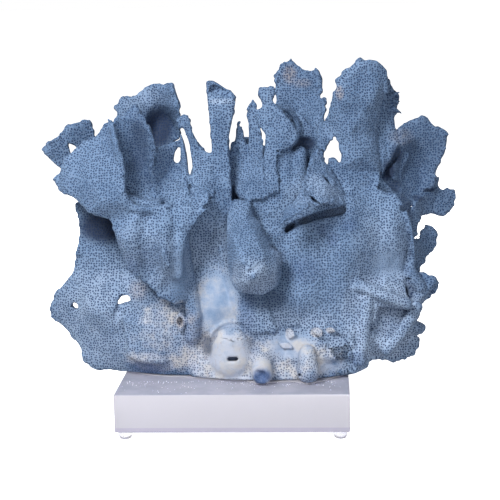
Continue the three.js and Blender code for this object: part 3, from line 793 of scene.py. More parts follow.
@dataclass(frozen=True)
class Stain:
    """A soft patch of one mask round a point, in millimetres from the middle of the block's foot."""

    mask: Mask
    centre: Point
    size: Point
    strength: float = 1.0
    edge: Span = (0.55, 1.25)

    def amount(self, points: np.ndarray) -> np.ndarray:
        """How much of the patch lies at each point."""
        away = np.linalg.norm((points - np.array(self.centre)) / np.array(self.size), axis=1)
        return self.strength * (1.0 - smoothstep(away, *self.edge))


CUT, BUILD = Touch.CUT, Touch.BUILD

BENDS = (
    Bend("coral_tower_right", (108, 14, 203), (18, 30, 34), (-1.2, 3, 0)),
    Bend("coral_tower_left", (101, 6, 210), (9, 20, 22), (0, -1.5, 0)),
    Bend("coral_fan_loop", (44, 10, 192), (18, 30, 26), (0, 4, 0)),
    Bend("coral_behind_shelf", (68, 3, 163), (14, 30, 20), (1, -4, 0)),
    Bend("coral_back_left_plate", (-50, 28, 180), (18, 34, 34), (0, 10, 0)),
    Bend("coral_back_left_plate", (-74, 30, 196), (15, 34, 26), (0, -5, 0)),
    Bend("coral_back_left_plate", (-40, 30, 210), (8, 34, 30), (0, -5, 0)),
    Bend("coral_right_wall", (110, -4, 126), (16, 20, 26), (0, -4, 0)),
    Bend("coral_left_wing", (-52, -56, 124), (9, 20, 34), (0, 5, 0)),
    Bend("coral_left_wing", (-38, -52, 128), (8, 20, 34), (0, -4, 0)),
    Bend("coral_right_blade", (122, 18, 160), (14, 30, 24), (0, 6, 0)),
)

# Marks in the order in which they are worked.
STROKES = (
    # Base: the worn cream mass under the walls, its dome, stub and mound.
    Web(
        "skirt", BUILD,
        (
            (-24, -31, 66), (-6, -32, 67), (12, -33, 66), (30, -32, 64), (48, -31, 64), (64, -30, 64),
            (80, -27, 66), (90, -26, 66),
        ),
        3.8, 4.0,
        root=(
            (-26, -36, 31), (-8, -42, 31), (12, -45, 31), (30, -45, 31), (48, -43, 31), (62, -39, 31),
            (76, -32, 33), (86, -29, 38),
        ),
    ),
    Web(
        "wedge", BUILD, ((-7, -32, 116), (-2, -35, 96), (4, -38, 74), (8, -38, 64)), 3.2, 2.0,
        root=((12, -30, 116), (16, -34, 96), (22, -36, 74), (26, -37, 64)),
    ),
    Stroke("base_dome", BUILD, ((-2, -33, 55), (-1, -33, 44)), 16.0, 2.0, tip=17.0),
    Stroke("dome_dent", CUT, ((-9, -56, 44), (-3, -58, 38), (6, -56, 40)), 4.0, 5.0),
    Stroke("dome_fold", CUT, ((-2, -55, 64), (4, -54, 58), (8, -52, 50)), 1.6, 3.0),
    Stroke(
        "dome_arch", CUT,
        (
            (-15, -40.5, 56), (-12, -40.5, 62), (-8, -41, 66), (-2, -41, 68.5), (5, -41, 67),
            (10, -42, 62), (14, -42, 56),
        ),
        1.9,
    ),
    Stroke("dome_gap", CUT, ((-13, -43, 62), (-17.5, -43, 55), (-18.5, -43, 47)), 3.0, 0.8),
    Web(
        "dome_slot", CUT, ((-2.6, -60, 47.5), (1.8, -60, 47.5)), 1.5, 0.6,
        root=((-2.6, -46, 46.5), (1.8, -46, 46.5)),
    ),
    Stroke("stub", BUILD, ((19, -38, 47), (19, -53, 38)), 6.6, 4.0, tip=7.0),
    Stroke("stub_break", CUT, ((19, -63.5, 37), (19, -60.5, 37.5)), 4.6, 0.6),
    Stroke("stub_chip_high", CUT, ((15.5, -63, 40.5), (16, -58.5, 40)), 2.3, 0.5),
    Stroke("stub_chip_low", CUT, ((22.5, -63, 35), (22, -59, 35)), 2.6, 0.5),
    Stroke("mound", BUILD, ((49, -46, 50), (49.5, -50, 38)), 5.4, 1.0, tip=7.4),
    Stroke("mound_pit", CUT, ((44, -55, 37), (44, -50, 37)), 1.2, 0.6),
    Web(
        "apron", BUILD, ((36, -35, 62), (48, -34.5, 62), (62, -33.5, 62), (78, -31, 62)), 3.0, 4.0,
        root=((36, -41, 46), (48, -41, 46), (62, -39, 46), (76, -36, 46)),
    ),
    Stroke(
        "arch_groove", CUT,
        ((62, -41, 50), (64, -39.5, 56), (69, -38.5, 60), (75, -37, 58), (79, -37, 52), (81, -37, 46)),
        1.9,
    ),
    Stroke("arch_dome", BUILD, ((72, -30, 40), (72, -29, 49)), 6.6, 2.0),
    Web(
        "chip_left", BUILD, ((35, -39, 66), (39, -40, 64)), 0.9, 0.3,
        root=((37, -41, 59), (41, -41, 61)),
    ),
    Web(
        "chip_middle", BUILD, ((52, -39, 65), (58, -39, 64)), 1.0, 0.3,
        root=((54, -41, 62), (58, -41, 60)),
    ),
    Web(
        "chip_right", BUILD, ((62, -38, 66), (66, -38, 66)), 0.9, 0.3,
        root=((63, -39, 63), (68, -39, 63)),
    ),
    Web("chip_low", BUILD, ((30, -42, 56), (36, -43, 56)), 0.9, 0.3, root=((33, -43, 53), (39, -43, 53))),
    Stroke(
        "break_line", CUT,
        ((12, -38, 70), (20, -38, 64), (26, -39, 59), (32, -37, 65), (44, -36, 65)), 1.1, 0.8,
    ),
    # Right: fingers and the hollows between them.
    Web(
        "finger_root", BUILD, ((84, -20, 97), (100, -16, 97), (112, -12, 96)), 2.4, 2.0,
        root=((85, -22, 90), (101, -23, 86), (113, -19, 82)),
    ),
    Stroke("upper_finger", BUILD, ((84, -28, 91), (101, -30, 84), (115, -27, 78)), 4.4, 1.2, tip=3.9),
    Stroke("upper_finger_shade", CUT, ((91, -24, 80), (101, -25, 75.5), (113, -21, 71)), 1.6),
    Web(
        "finger_side", BUILD, ((74, -27, 90), (73, -28, 74), (72, -29, 58), (74, -30, 42)), 3.6, 2.0,
        root=((87, -23, 84), (86, -25, 66), (85, -26, 50), (83, -29, 42)),
    ),
    Stroke("lower_finger", BUILD, ((89, -28, 82), (87, -31, 66), (85.5, -31, 50)), 4.4, 1.0, tip=4.0),
    Stroke("lower_finger_tip", BUILD, ((83, -33, 45), (83.5, -33, 41)), 4.6, 1.0),
    Stroke("tip_split", CUT, ((78, -36, 49), (83, -38, 50), (88, -35, 48)), 1.0, 0.6),
    Web(
        "finger_web", BUILD, ((90, -20, 77), (89, -22, 62), (88, -23, 46)), 3.6, 2.0,
        root=((119, -12, 73), (110, -18, 57), (99, -19, 44)),
    ),
    Stroke("bowl", CUT, ((92, -28, 63), (98, -28, 65), (105, -25, 62)), 2.8, 2.0),
    Stroke("bowl_lobe", BUILD, ((95, -22, 53), (99, -22, 51)), 6.0, 2.0),
    Stroke("slant_finger", BUILD, ((122, -18, 74), (111, -26, 57), (102, -26, 46)), 4.4, 1.5, tip=3.8),
    Stroke("side_lump", BUILD, ((119, -13, 95), (125, -11, 86)), 4.6, 1.0),
    Stroke("side_knuckle", BUILD, ((133, -7, 89), (122, -12, 77)), 4.2, 0.8, tip=3.4),
    Stroke("side_tip", BUILD, ((109, -13, 57), (123, -11, 58)), 4.2, 1.0, tip=4.6),
    Stroke("side_tip_shade", CUT, ((109, -22, 51), (116, -20, 52), (124, -15, 51)), 1.3),
    Stroke(
        "under_wall_crack", CUT,
        ((102, -24, 92.5), (108, -22, 92), (115, -18, 90), (119, -13, 94), (122, -9, 98)), 1.3,
    ),
    Stroke("ear_groove", CUT, ((115, -8, 115), (115.5, -11, 104), (114, -14, 98)), 1.2),
    Stroke("ear_ridge", BUILD, ((119, -5, 119), (121, -7, 108), (119, -10, 98)), 2.0, 3.5),
    Stroke(
        "wall_rim_shade", CUT,
        ((111, 7, 152), (112, 6.5, 145), (120, 7.5, 140), (124, 7.5, 130), (124, 5, 120)), 1.5,
    ),
    Stroke(
        "wall_rim", BUILD,
        ((108, -4, 148), (114, -7, 140), (118, -9, 129), (120, -10, 119), (121, -10, 108)),
        1.7, 1.0, tip=1.2,
    ),
    Stroke("wall_bite_high", CUT, ((111, -14, 149), (112, 2, 149)), 1.8, 0.5),
    Stroke("wall_bite_middle", CUT, ((113, -14, 139), (115, 2, 140)), 2.2, 0.5),
    Stroke("wall_bite_low", CUT, ((121, -14, 127), (122, 2, 127)), 1.7, 0.5),
    Stroke("wall_bite_last", CUT, ((122, -14, 118), (123, 2, 118)), 1.4, 0.5),
    Stroke(
        "blade_crack", CUT,
        ((120, 15, 138), (122, 15.5, 141), (126, 20, 144), (131, 23, 146.5), (137, 28, 148.5)), 1.5, 0.6,
    ),
    Web(
        "tower_backing", BUILD, ((112, 27, 178), (105, 23, 168), (101, 19, 158)), 2.4, 1.0,
        root=((118, 27, 172), (112, 23, 160), (114, 23, 150)),
    ),
    Stroke(
        "tower_crevice", CUT,
        (
            (113, 17.5, 176), (107, 15.5, 170), (102.5, 13, 164), (102, 10, 158.5), (107, 12, 154),
            (113, 14, 151),
        ),
        3.2, 0.6,
    ),
    Stroke("tower_spike_high", BUILD, ((107, 17, 213), (114, 18, 216)), 1.8, 1.5, tip=0.4),
    Web(
        "tower_top", BUILD,
        ((79, 1, 227), (84, 3, 232), (91, 5, 236.5), (97, 6, 235.5), (102, 8, 230)), 2.2, 2.0,
        root=((81, 1, 217), (86, 3, 218), (91, 4, 219), (97, 6, 219), (103, 8, 217)),
    ),
    Stroke("tower_spike_middle", BUILD, ((109, 18, 209), (113.5, 19, 209)), 1.8, 1.5, tip=0.4),
    Stroke("tower_spike_low", BUILD, ((109, 18, 204), (114.5, 19, 201)), 2.0, 1.5, tip=0.4),
    # Middle: the shelf, the ribs behind it, the drop and its lip.
    Stroke("shelf_hollow", CUT, ((61, -17, 168), (64, -16, 160)), 2.4),
    Web(
        "shelf_shade", CUT,
        ((73, -34, 140.5), (56, -36, 136.5), (42, -36, 131.5), (32, -34, 126)), 2.5, 0.8,
        root=((73, -12, 140.5), (56, -15, 136.5), (42, -16, 131.5), (32, -17, 126)),
    ),
    Stroke("rib_left", BUILD, ((35, -1, 176), (36, -5, 166), (36, -10, 153)), 4.6, 3.0, tip=5.6),
    Stroke("rib_right", BUILD, ((45, 1, 177), (45, -4, 166), (45, -10, 153)), 4.6, 3.0, tip=5.6),
    Web(
        "fan_root", BUILD, ((6, -7, 154), (20, -9, 154), (32, -10, 152)), 4.2, 3.0,
        root=((10, -10, 138), (20, -14, 132), (30, -20, 124)),
    ),
    Stroke("rib_edge", CUT, ((30.5, -7, 179), (30.5, -12, 160)), 1.3),
    Stroke("drop_lip", CUT, ((10, -65, 107), (16, -64, 110), (22, -59, 113), (31, -47, 117)), 1.8),
    Web(
        "column_root", BUILD,
        ((-13, -15, 161), (-11, -21, 148), (-10, -25, 135), (-9, -28, 120)), 3.0, 2.0,
        root=((-4, -15, 161), (-4, -19, 148), (-3, -23, 135), (-3, -28, 120)),
    ),
    Stroke("column_slit", CUT, ((-9, -28, 142), (-9, -30, 129)), 1.1, 0.6),
    Web(
        "column_join", BUILD, ((-17, -9, 171), (-8, -9, 171)), 2.0, 2.0,
        root=((-17, -10, 162), (-8, -10, 162)),
    ),
    Stroke("column_mouth", CUT, ((-12, -3, 221), (-3, -3, 218)), 3.0, 1.0),
    Stroke("top_slit", CUT, ((2, 6, 184), (2, 7, 176)), 1.3),
    Stroke("fan_gap", CUT, ((41, 11, 181), (46, 12.5, 182), (50, 13, 182.5)), 3.6, 1.0),
    Stroke(
        "fan_rim", BUILD,
        ((31, 2, 207), (37, 6, 206), (42, 9, 200), (44, 10, 192), (42, 8, 184), (37, 4, 179)), 2.0, 1.0,
    ),
    Stroke("fan_groove", CUT, ((34, 2, 202), (38, 6, 197), (39, 7, 190)), 1.6, 1.5),
    # Left: the wing, the pocket behind its lip, the hood and the lower wall.
    Stroke(
        "wing_valley", CUT,
        ((-54, -62, 144), (-53, -63, 128), (-51, -60, 112), (-50, -57, 98)), 6.0, 4.0, tip=5.0,
    ),
    Stroke("wing_crease", CUT, ((-85, -50, 188), (-86, -54, 174), (-84, -58, 158)), 3.4, 3.0, tip=2.4),
    Stroke("wing_side_crease", CUT, ((-28, -50, 128), (-29, -50, 110), (-27, -46, 92)), 2.6, 2.0),
    Stroke(
        "wing_rib", BUILD, ((-77, -33, 198), (-73, -42, 186), (-70, -43, 177), (-69, -44, 162)), 1.9, 3.0,
    ),
    Stroke(
        "pocket_lip", BUILD,
        (
            (-73, -46, 168), (-69, -51, 160), (-66, -52, 150), (-59, -53, 148), (-50, -49, 147),
            (-40, -46, 149),
        ),
        2.1, 2.0,
    ),
    Web(
        "pocket_floor", BUILD, ((-67, -41, 153), (-58, -42, 149), (-48, -40, 148)), 3.4, 3.0,
        root=((-66, -27, 151), (-58, -26, 148), (-48, -28, 149)),
    ),
    Stroke("pocket_slit", CUT, ((-56, -24, 167), (-51, -29, 152)), 1.4),
    Stroke("slim_finger", BUILD, ((-33, -9, 191), (-32, -13, 178), (-31, -17, 164)), 2.2, 1.0, tip=3.0),
    Web(
        "stick_gap", CUT,
        ((-33.5, -40, 196), (-31.2, -40, 189), (-29, -40, 179), (-27.4, -40, 168)), 1.4, 0.6,
        root=((-34, 20, 193), (-31.6, 20, 186), (-29.4, 20, 176), (-28, 20, 165)),
    ),
    Stroke("hood_crevice", CUT, ((-13, -45, 151), (-18, -40, 143), (-25, -32, 133)), 2.0),
    Stroke("hood_spike", BUILD, ((-29, -39, 154), (-29, -35, 165)), 2.8, 1.0, tip=1.2),
    Stroke(
        "hood_root", BUILD,
        ((-28, -45, 144), (-31, -47, 132), (-34, -50, 118), (-34, -50, 104)), 4.6, 4.0, tip=3.0,
    ),
    Web(
        "wall_lobe", BUILD, ((-71, -34, 69), (-60, -36, 66), (-48, -39, 60)), 3.6, 2.5,
        root=((-69, -33, 47), (-60, -35, 44), (-48, -37, 44)),
    ),
    Stroke("crescent", CUT, ((-75, -33, 83), (-79, -34, 73), (-78, -34, 62), (-74, -35, 53)), 2.6, 1.0),
    Stroke("wall_slit_high", CUT, ((-66, -38, 73), (-62, -40, 71.5), (-57, -40, 70.5)), 1.5, 0.8),
    Stroke("wall_slit_low", CUT, ((-51, -43, 64), (-45, -43, 57)), 1.6, 0.8),
    Stroke("small_hole", CUT, ((-110, -40, 77.5), (-108.5, 12, 76)), 2.3, 0.8),
    Stroke(
        "ring", BUILD,
        ((-35, -40, 76), (-32, -41, 71), (-35, -42, 65), (-38.5, -41, 71), (-35, -40, 76)), 1.2, 0.8,
    ),
    Stroke("blue_lump", BUILD, ((-28, -37, 86), (-26, -38, 74), (-28, -37, 60)), 5.2, 2.0),
)

# Patches of each mask: the middle, the half widths and the strength.
PATCHES = {
    Mask.CHALK: (
        ((-12, -50, 80), (22, 40, 36), 0.5), ((-8, -50, 45), (34, 40, 24), 0.95),
        ((34, -48, 42), (48, 40, 22), 0.7), ((-42, -45, 58), (34, 40, 34), 0.58),
        ((-55, -45, 42), (30, 40, 10), 0.75), ((12, -56, 98), (22, 20, 16), 0.15),
        ((37, -41, 61), (4, 6, 5), 1.0), ((55, -40, 62), (5, 6, 4), 1.0), ((64, -39, 63), (4, 6, 3), 1.0),
        ((34, -44, 54), (6, 6, 3), 1.0),
    ),
    # Pale colour, and painted light where shaded undersides and the top of the rear left plate are
    # lightened.
    Mask.PALE_AND_LIT: (
        ((-8, -4, 213), (12, 8, 2.0), 0.6), ((-85, -25, 66), (48, 34, 44), 0.55),
        ((100, -24, 62), (34, 40, 42), 0.9), ((14, -60, 99), (22, 18, 17), 0.8),
        ((20, -42, 58), (90, 34, 22), 0.6), ((-55, -58, 112), (26, 22, 30), 0.35),
        ((100, -14, 108), (24, 26, 34), 0.3), ((56, -30, 154), (24, 24, 14), 0.4),
        ((-14, -30, 100), (22, 24, 40), 0.5), ((-68, 24, 214), (24, 24, 12), 0.3),
    ),
    Mask.BARE: (
        ((38, -44, 54), (17, 16, 9), 0.9), ((62, -42, 40), (12, 16, 6), 0.7),
        ((-34, -45, 108), (8, 14, 26), 0.55), ((-10, -45, 82), (16, 30, 26), 0.9),
        ((-4, -48, 48), (16, 20, 19), 1.0), ((19, -55, 40), (12, 8, 12), 1.0),
        ((104, -18, 104), (14, 20, 10), 0.55),
    ),
    Mask.DEEP: (
        ((19, -58.5, 36.5), (7, 5, 7), 1.0), ((-61, -36, 36), (16, 12, 6), 0.8),
        ((-27, -38, 66), (8, 12, 14), 0.4), ((9, -40, 76), (6, 14, 16), 0.4),
        ((83, -36, 43), (6, 8, 6), 0.35), ((66, -22, 122), (5, 12, 6), 0.45),
        ((77, -20, 131), (6, 12, 4), 0.4), ((48, -28, 102), (12, 20, 10), 0.3),
        ((60, -28, 128), (5, 12, 5), 0.4), ((-66, -56, 110), (8, 14, 7), 0.3),
    ),
    Mask.TAN: (
        ((-35, -41, 70.5), (2.6, 4, 3.8), 0.9), ((-65, -35, 91), (8, 8, 8), 0.45),
        ((38, 20, 228), (6, 24, 8), 0.6), ((46, 20, 222), (8, 24, 4), 0.35),
        ((114, 18, 185), (9, 20, 6), 0.25), ((72, 0, 217), (3, 14, 5), 0.6),
        ((28, -36, 112), (10, 14, 10), 0.1),
    ),
    # Painted shade and painted cast shadows in hollows, cracks and under overhangs.
    Mask.CAVITY_SHADE: (
        ((-88, -18, 131), (18, 12, 12), 1.0), ((104, 12, 163), (6, 8, 9), 1.0),
        ((110, 16, 173), (6, 9, 7), 0.9), ((110, 12, 152), (6, 7, 5), 0.8),
        ((117, 9, 134), (8, 9, 20), 0.6), ((125, 20, 142.5), (5, 6, 2.5), 0.8),
        ((133, 26, 147.5), (6, 6, 2.2), 0.8), ((130, 20, 165), (30, 30, 38), 0.22),
        ((48, 14, 182), (9, 9, 5.5), 0.95), ((20, -36, 84), (17, 10, 8), 0.5),
        ((-18, -40, 54), (4.5, 8, 8), 0.75), ((70, -39, 59.5), (6, 4, 1.6), 0.5),
        ((52, -18, 133), (26, 8, 7), 0.3), ((-62, -19, 184), (8, 12, 22), 0.6),
        ((-55, 34, 192), (12, 20, 16), 1.0), ((-54, -14, 172), (16, 20, 22), 0.35),
        ((110, 16, 210), (8, 12, 18), 0.3),
    ),
    Mask.SHADE: (
        ((-60, -16, 180), (26, 14, 40), 0.8), ((-84, -46, 172), (34, 26, 34), 0.5),
        ((-48, 30, 192), (18, 16, 30), 0.5), ((95, 0, 200), (18, 14, 26), 0.35),
        ((130, 24, 150), (36, 40, 60), 1.0), ((-112, 4, 180), (34, 20, 34), 0.7),
        ((66, 6, 165), (14, 14, 22), 0.8), ((48, 24, 205), (26, 20, 44), 0.5),
        ((110, 16, 205), (11, 12, 26), 0.6), ((126, -6, 96), (20, 16, 26), 0.9),
        ((104, 14, 200), (30, 30, 50), 0.35), ((28, 0, 190), (26, 24, 34), 0.4),
    ),
}
STAINS = [Stain(mask, *patch) for mask, patches in PATCHES.items() for patch in patches]


# ---------------------------------------------------------------------------------------------
# The coral
# ---------------------------------------------------------------------------------------------


@dataclass
class Grown:
    """One node's own distance field, in its window of the lattice."""

    window: Window
    own: np.ndarray


@dataclass
class Colony:
    """The whole coral: one melted field, parted into a closed piece for each node.

    Lengths are in millimetres. A fullness is the share of solid round a place: about a half on a
    broad face, less on a rim and more in a hollow.
    """

    origin: Point
    step: float = 0.9
    band: float = 10.0
    slack: float = 0.01
    fillet: float = 1.0
    smoothing: float = 0.5
    overlap: float = 1.6
    dive: float = 0.2
    limit: float = 3.0
    edge: Span = (-0.6, 0.6)
    lump_wave: float = 15.0
    lump_height: float = 0.4
    lump_seed: int = 11
    ripple_wave: float = 6.0
    ripple_height: float = 0.15
    ripple_seed: int = 12
    thinning: float = 0.2
    knob_wave: float = 3.8
    knob_height: float = 1.3
    knob_limits: Span = (-0.6, 0.75)
    knob_blur: float = 3.0
    knob_fullness: Span = (0.24, 0.36)
    knob_seed: int = 13
    flute_wave: Point = (15.0, 90.0, 60.0)
    flute_depth: float = 2.3
    flute_seed: int = 21
    flute_rise: Span = (66.0, 96.0)
    crimp_wave: Point = (7.0, 60.0, 26.0)
    crimp_depth: float = 0.5
    crimp_seed: int = 22
    near_blur: float = 2.6
    wide_blur: float = 9.0
    slope_blur: float = 3.5
    near_step: float = 2.2
    wide_step: float = 6.0
    rim_fullness: Span = (0.26, 0.38)
    highlight_fullness: Span = (0.36, 0.46)
    snug_fullness: Span = (0.34, 0.62)
    snug_shade: float = 0.9
    wide_fullness: Span = (0.26, 0.50)
    wide_shade: float = 0.85
    skin_shift: Span = (37.0, 23.0)
    surface: RoundedSurface = RoundedSurface()

    def __post_init__(self) -> None:
        """Lists the coral's nodes and lays the lattice round them."""
        self.nodes = sorted(name for name in frame["nodes"] if name.startswith("coral_"))
        boxes = [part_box(name) for name in self.nodes]
        margin = self.band + 2 * self.step
        low = np.min([b[0] for b in boxes], axis=0) / MM - np.array(self.origin) - margin
        high = np.max([b[1] for b in boxes], axis=0) / MM - np.array(self.origin) + margin
        self.bottom = float(low[2] + margin)
        shape = tuple(int(n) for n in np.ceil((high - low) / self.step) + 1)
        self.lattice = Lattice(tuple(float(v) for v in low), self.step, shape)
        self.flutes = self.flute_depth * self.lattice.noise(self.flute_wave, self.flute_seed)
        self.flutes += self.crimp_depth * self.lattice.noise(self.crimp_wave, self.crimp_seed)

    def folded(self, points: np.ndarray) -> np.ndarray:
        """Pushes points to the front or back, so that plates are fluted from top to bottom.

        Args:
            points: Places in millimetres.

        Returns:
            Where they are pushed to.
        """
        rise = smoothstep(points[:, 2], *self.flute_rise)
        moved = points.copy()
        moved[:, 1] += rise * self.lattice.sample(self.flutes, points)
        return moved

    def own_field(self, node: str) -> Grown:
        """Distance to one node's rounded surface.

        Args:
            node: The node's name.

        Returns:
            Its field and window.
        """
        points, triangles = self.surface.build(frame["nodes"][node])
        points = points - np.array(self.origin, np.float32)
        for bend in BENDS:
            if bend.node == node:
                points = points + bend.shift(points)
        points = self.folded(points).astype(np.float32)
        window = self.lattice.window(points.min(axis=0) - self.band, points.max(axis=0) + self.band)
        starts = tuple(s.start for s in window)
        values = np.empty(tuple(s.stop - s.start for s in window), np.float32)
        to_grid = vdb.createLinearTransform(voxelSize=self.step)
        local = points - np.array(self.lattice.low, np.float32)
        grid = vdb.FloatGrid.createLevelSetFromPolygons(
            local, triangles=triangles, transform=to_grid, halfWidth=self.band / self.step
        )
        grid.copyToArray(values, ijk=starts)
        return Grown(window, values)

    def grow(self) -> None:
        """Melts the nodes' fields together, then roughens, carves, trims and measures the whole."""
        shape = self.lattice.shape
        self.grown = [self.own_field(node) for node in self.nodes]
        self.first = np.full(shape, self.band, np.float32)
        self.second = np.full(shape, self.band, np.float32)
        self.owner = np.full(shape, -1, np.int16)
        body = np.full(shape, self.band, np.float32)
        for i, part in enumerate(self.grown):
            w = part.window
            body[w] = melted(body[w], part.own, self.fillet)
            closer = part.own < self.first[w]
            self.second[w] = np.where(closer, self.first[w], np.minimum(self.second[w], part.own))
            self.owner[w] = np.where(closer, i, self.owner[w])
            self.first[w] = np.where(closer, part.own, self.first[w])
        self.body = blurred(body, self.smoothing)
        self.roughen()
        self.carve()
        self.trim()
        self.measure()

    def roughen(self) -> None:
        """Adds lumps over the plates, and knobs where a rim stands free."""
        lattice = self.lattice
        full = blurred(smoothstep(-self.body, *self.edge), self.knob_blur / self.step)
        rim = 1.0 - smoothstep(full, *self.knob_fullness)
        self.body += self.thinning * rim
        self.body += self.lump_height * lattice.noise(self.lump_wave, self.lump_seed)
        self.body += self.ripple_height * lattice.noise(self.ripple_wave, self.ripple_seed)
        knobs = np.clip(lattice.noise(self.knob_wave, self.knob_seed), *self.knob_limits)
        self.body -= self.knob_height * rim * knobs

    def carve(self) -> None:
        """Applies the listed strokes."""
        for stroke in STROKES:
            window, tool = stroke.field(self.lattice, self.folded)
            if stroke.touch is Touch.CUT:
                self.body[window] = carved(self.body[window], tool, stroke.soft)
            else:
                self.body[window] = melted(self.body[window], tool, stroke.soft)
            LOG.debug("%s: %s", stroke.name, stroke.touch.value)

    def trim(self) -> None:
        """Saws the foot off flat above the glue."""
        below = self.bottom - self.lattice.axis(2)
        self.body = np.maximum(self.body, below[None, None, :])

    def measure(self) -> None:
        """Works out the fields that the masks and the skin map are read from."""
        solid = smoothstep(-self.body, *self.edge)
        self.near = blurred(solid, self.near_blur / self.step)
        skip = 2
        self.wide = blurred(solid[::skip, ::skip, ::skip], self.wide_blur / (skip * self.step))
        self.coarse = Lattice(self.lattice.low, self.step * skip, self.wide.shape)
        soft = blurred(solid, self.slope_blur / self.step)
        self.slope = [-np.gradient(soft, self.step, axis=k).astype(np.float32) for k in range(3)]

    def part(self, index: int) -> tuple[np.ndarray, np.ndarray]:
        """Closed surface of one node's share of the coral.

        Args:
            index: The node's place in the list.

        Returns:
            Points in millimetres and quads.
        """
        grown = self.grown[index]
        w = grown.window
        others = np.where(self.owner[w] == index, self.second[w], self.first[w])
        # A node that lies out of the band's reach gives way to any node that lies within it.
        reach = self.band - self.slack
        far = (grown.own > reach) & (others < reach)
        lead = 0.5 * (np.where(far, 2.0 * self.band, grown.own) - others)
        sunk = self.dive * np.clip(lead / self.overlap, 0.0, 1.0)
        values = np.maximum(self.body[w] + sunk, lead - self.overlap)
        values = np.clip(values, -self.limit, self.limit).astype(np.float32)
        values[[0, -1]] = self.limit
        values[:, [0, -1]] = self.limit
        values[:, :, [0, -1]] = self.limit
        grid = vdb.FloatGrid(self.limit)
        grid.copyFromArray(np.ascontiguousarray(values))
        points, _, quads = grid.convertToPolygons(isovalue=0.0, adaptivity=0.0)
        start = np.array([s.start for s in w])
        points = (points + start) * self.step + np.array(self.lattice.low)
        return points, quads

    def dress(self, mesh: bpy.types.Mesh, points: np.ndarray) -> None:
        """Paints the masks and lays the skin map.

        Args:
            mesh: The piece's mesh.
            points: Its vertices in millimetres.
        """
        near = self.lattice.sample(self.near, points)
        out = np.stack([self.lattice.sample(s, points) for s in self.slope], axis=1)
        out /= np.maximum(np.linalg.norm(out, axis=1, keepdims=True), 1e-6)
        wide = self.coarse.sample(self.wide, points + self.wide_step * out)
        snug = self.lattice.sample(self.near, points + self.near_step * out)
        # Painted shade: darker where much solid stands just off the surface, in hollows and under
        # overhangs.
        wide_dark = self.wide_shade * smoothstep(wide, *self.wide_fullness)
        snug_dark = self.snug_shade * smoothstep(snug, *self.snug_fullness)
        painted = {mask: np.zeros(len(points)) for mask in Mask}
        painted[Mask.RIM] = 1.0 - smoothstep(near, *self.rim_fullness)
        # Painted highlight on thin edges.
        painted[Mask.EDGE] = 1.0 - smoothstep(near, *self.highlight_fullness)
        painted[Mask.CAVITY_SHADE] = np.maximum(wide_dark, snug_dark)
        for stain in STAINS:
            painted[stain.mask] = np.maximum(painted[stain.mask], stain.amount(points))
        for mask, values in painted.items():
            layer = mesh.attributes.new(mask.value, "FLOAT", "POINT")
            layer.data.foreach_set("value", np.clip(values, 0.0, 1.0).astype(np.float32))
        self.lay_skin(mesh, points)

    def lay_skin(self, mesh: bpy.types.Mesh, points: np.ndarray) -> None:
        """Maps each face to the plane that it faces best, in millimetres.

        Args:
            mesh: The piece's mesh.
            points: Its vertices in millimetres.
        """
        count = len(mesh.polygons)
        corners = np.empty(count * 4, np.int32)
        mesh.loops.foreach_get("vertex_index", corners)
        corners = corners.reshape(count, 4)
        centres = points[corners].mean(axis=1)
        out = np.stack([self.lattice.sample(s, centres) for s in self.slope], axis=1)
        choice = np.argmax(out @ FACINGS.T, axis=1)
        across, up = FACING_AXES[0][choice], FACING_AXES[1][choice]
        places = points[corners]
        u = np.einsum("fcd,fd->fc", places, across) + self.skin_shift[0] * choice[:, None]
        v = np.einsum("fcd,fd->fc", places, up) + self.skin_shift[1] * choice[:, None]
        layer = mesh.uv_layers.new(name=SKIN_MAP)
        layer.uv.foreach_set("vector", np.stack([u, v], axis=-1).reshape(-1).astype(np.float32))

    def build(self, finish: bpy.types.Material) -> None:
        """Makes every piece of the coral.

        Args:
            finish: The coral's material.
        """
        self.grow()
        slots = {row["node"]: row["material_slot"] for row in frame["record"]["subparts"]}
        for index, node in enumerate(self.nodes):
            points, quads = self.part(index)
            points = points.astype(np.float64)
            mesh = bpy.data.meshes.new(node + "_grown")
            mesh.from_pydata(((points + np.array(self.origin)) * MM).tolist(), [], quads.tolist())
            turn_outward(mesh)
            mesh.shade_smooth()
            self.dress(mesh, points)
            mesh.materials.append(finish)
            add_piece(node + "_grown", mesh, slots[node], node)


def facing_directions() -> np.ndarray:
    """Ways to the faces, edges and corners of a cube.

    Returns:
        One unit vector in each row.
    """
    found = [Vector(c) for c in np.ndindex(3, 3, 3)]
    spread = [(v - Vector((1, 1, 1))).normalized() for v in found if v != Vector((1, 1, 1))]
    return np.array([tuple(v) for v in spread])


def facing_axes(directions: np.ndarray) -> tuple[np.ndarray, np.ndarray]:
    """Two axes across each direction.

    Args:
        directions: One unit vector in each row.

    Returns:
        The two axes, in rows of their own.
    """
    steep = 0.9
    helper = np.where(np.abs(directions[:, 2:3]) < steep, [[0.0, 0.0, 1.0]], [[0.0, 1.0, 0.0]])
    across = np.cross(helper, directions)
    across /= np.linalg.norm(across, axis=1, keepdims=True)
    return across, np.cross(directions, across)


FACINGS = facing_directions()
FACING_AXES = facing_axes(FACINGS)


def turn_outward(mesh: bpy.types.Mesh) -> None:
    """Flips a closed mesh whose faces look inward.

    Args:
        mesh: The mesh.
    """
    shape = bmesh.new()
    shape.from_mesh(mesh)
    if shape.calc_volume(signed=True) < 0.0:
        bmesh.ops.reverse_faces(shape, faces=shape.faces)
    shape.to_mesh(mesh)
    shape.free()


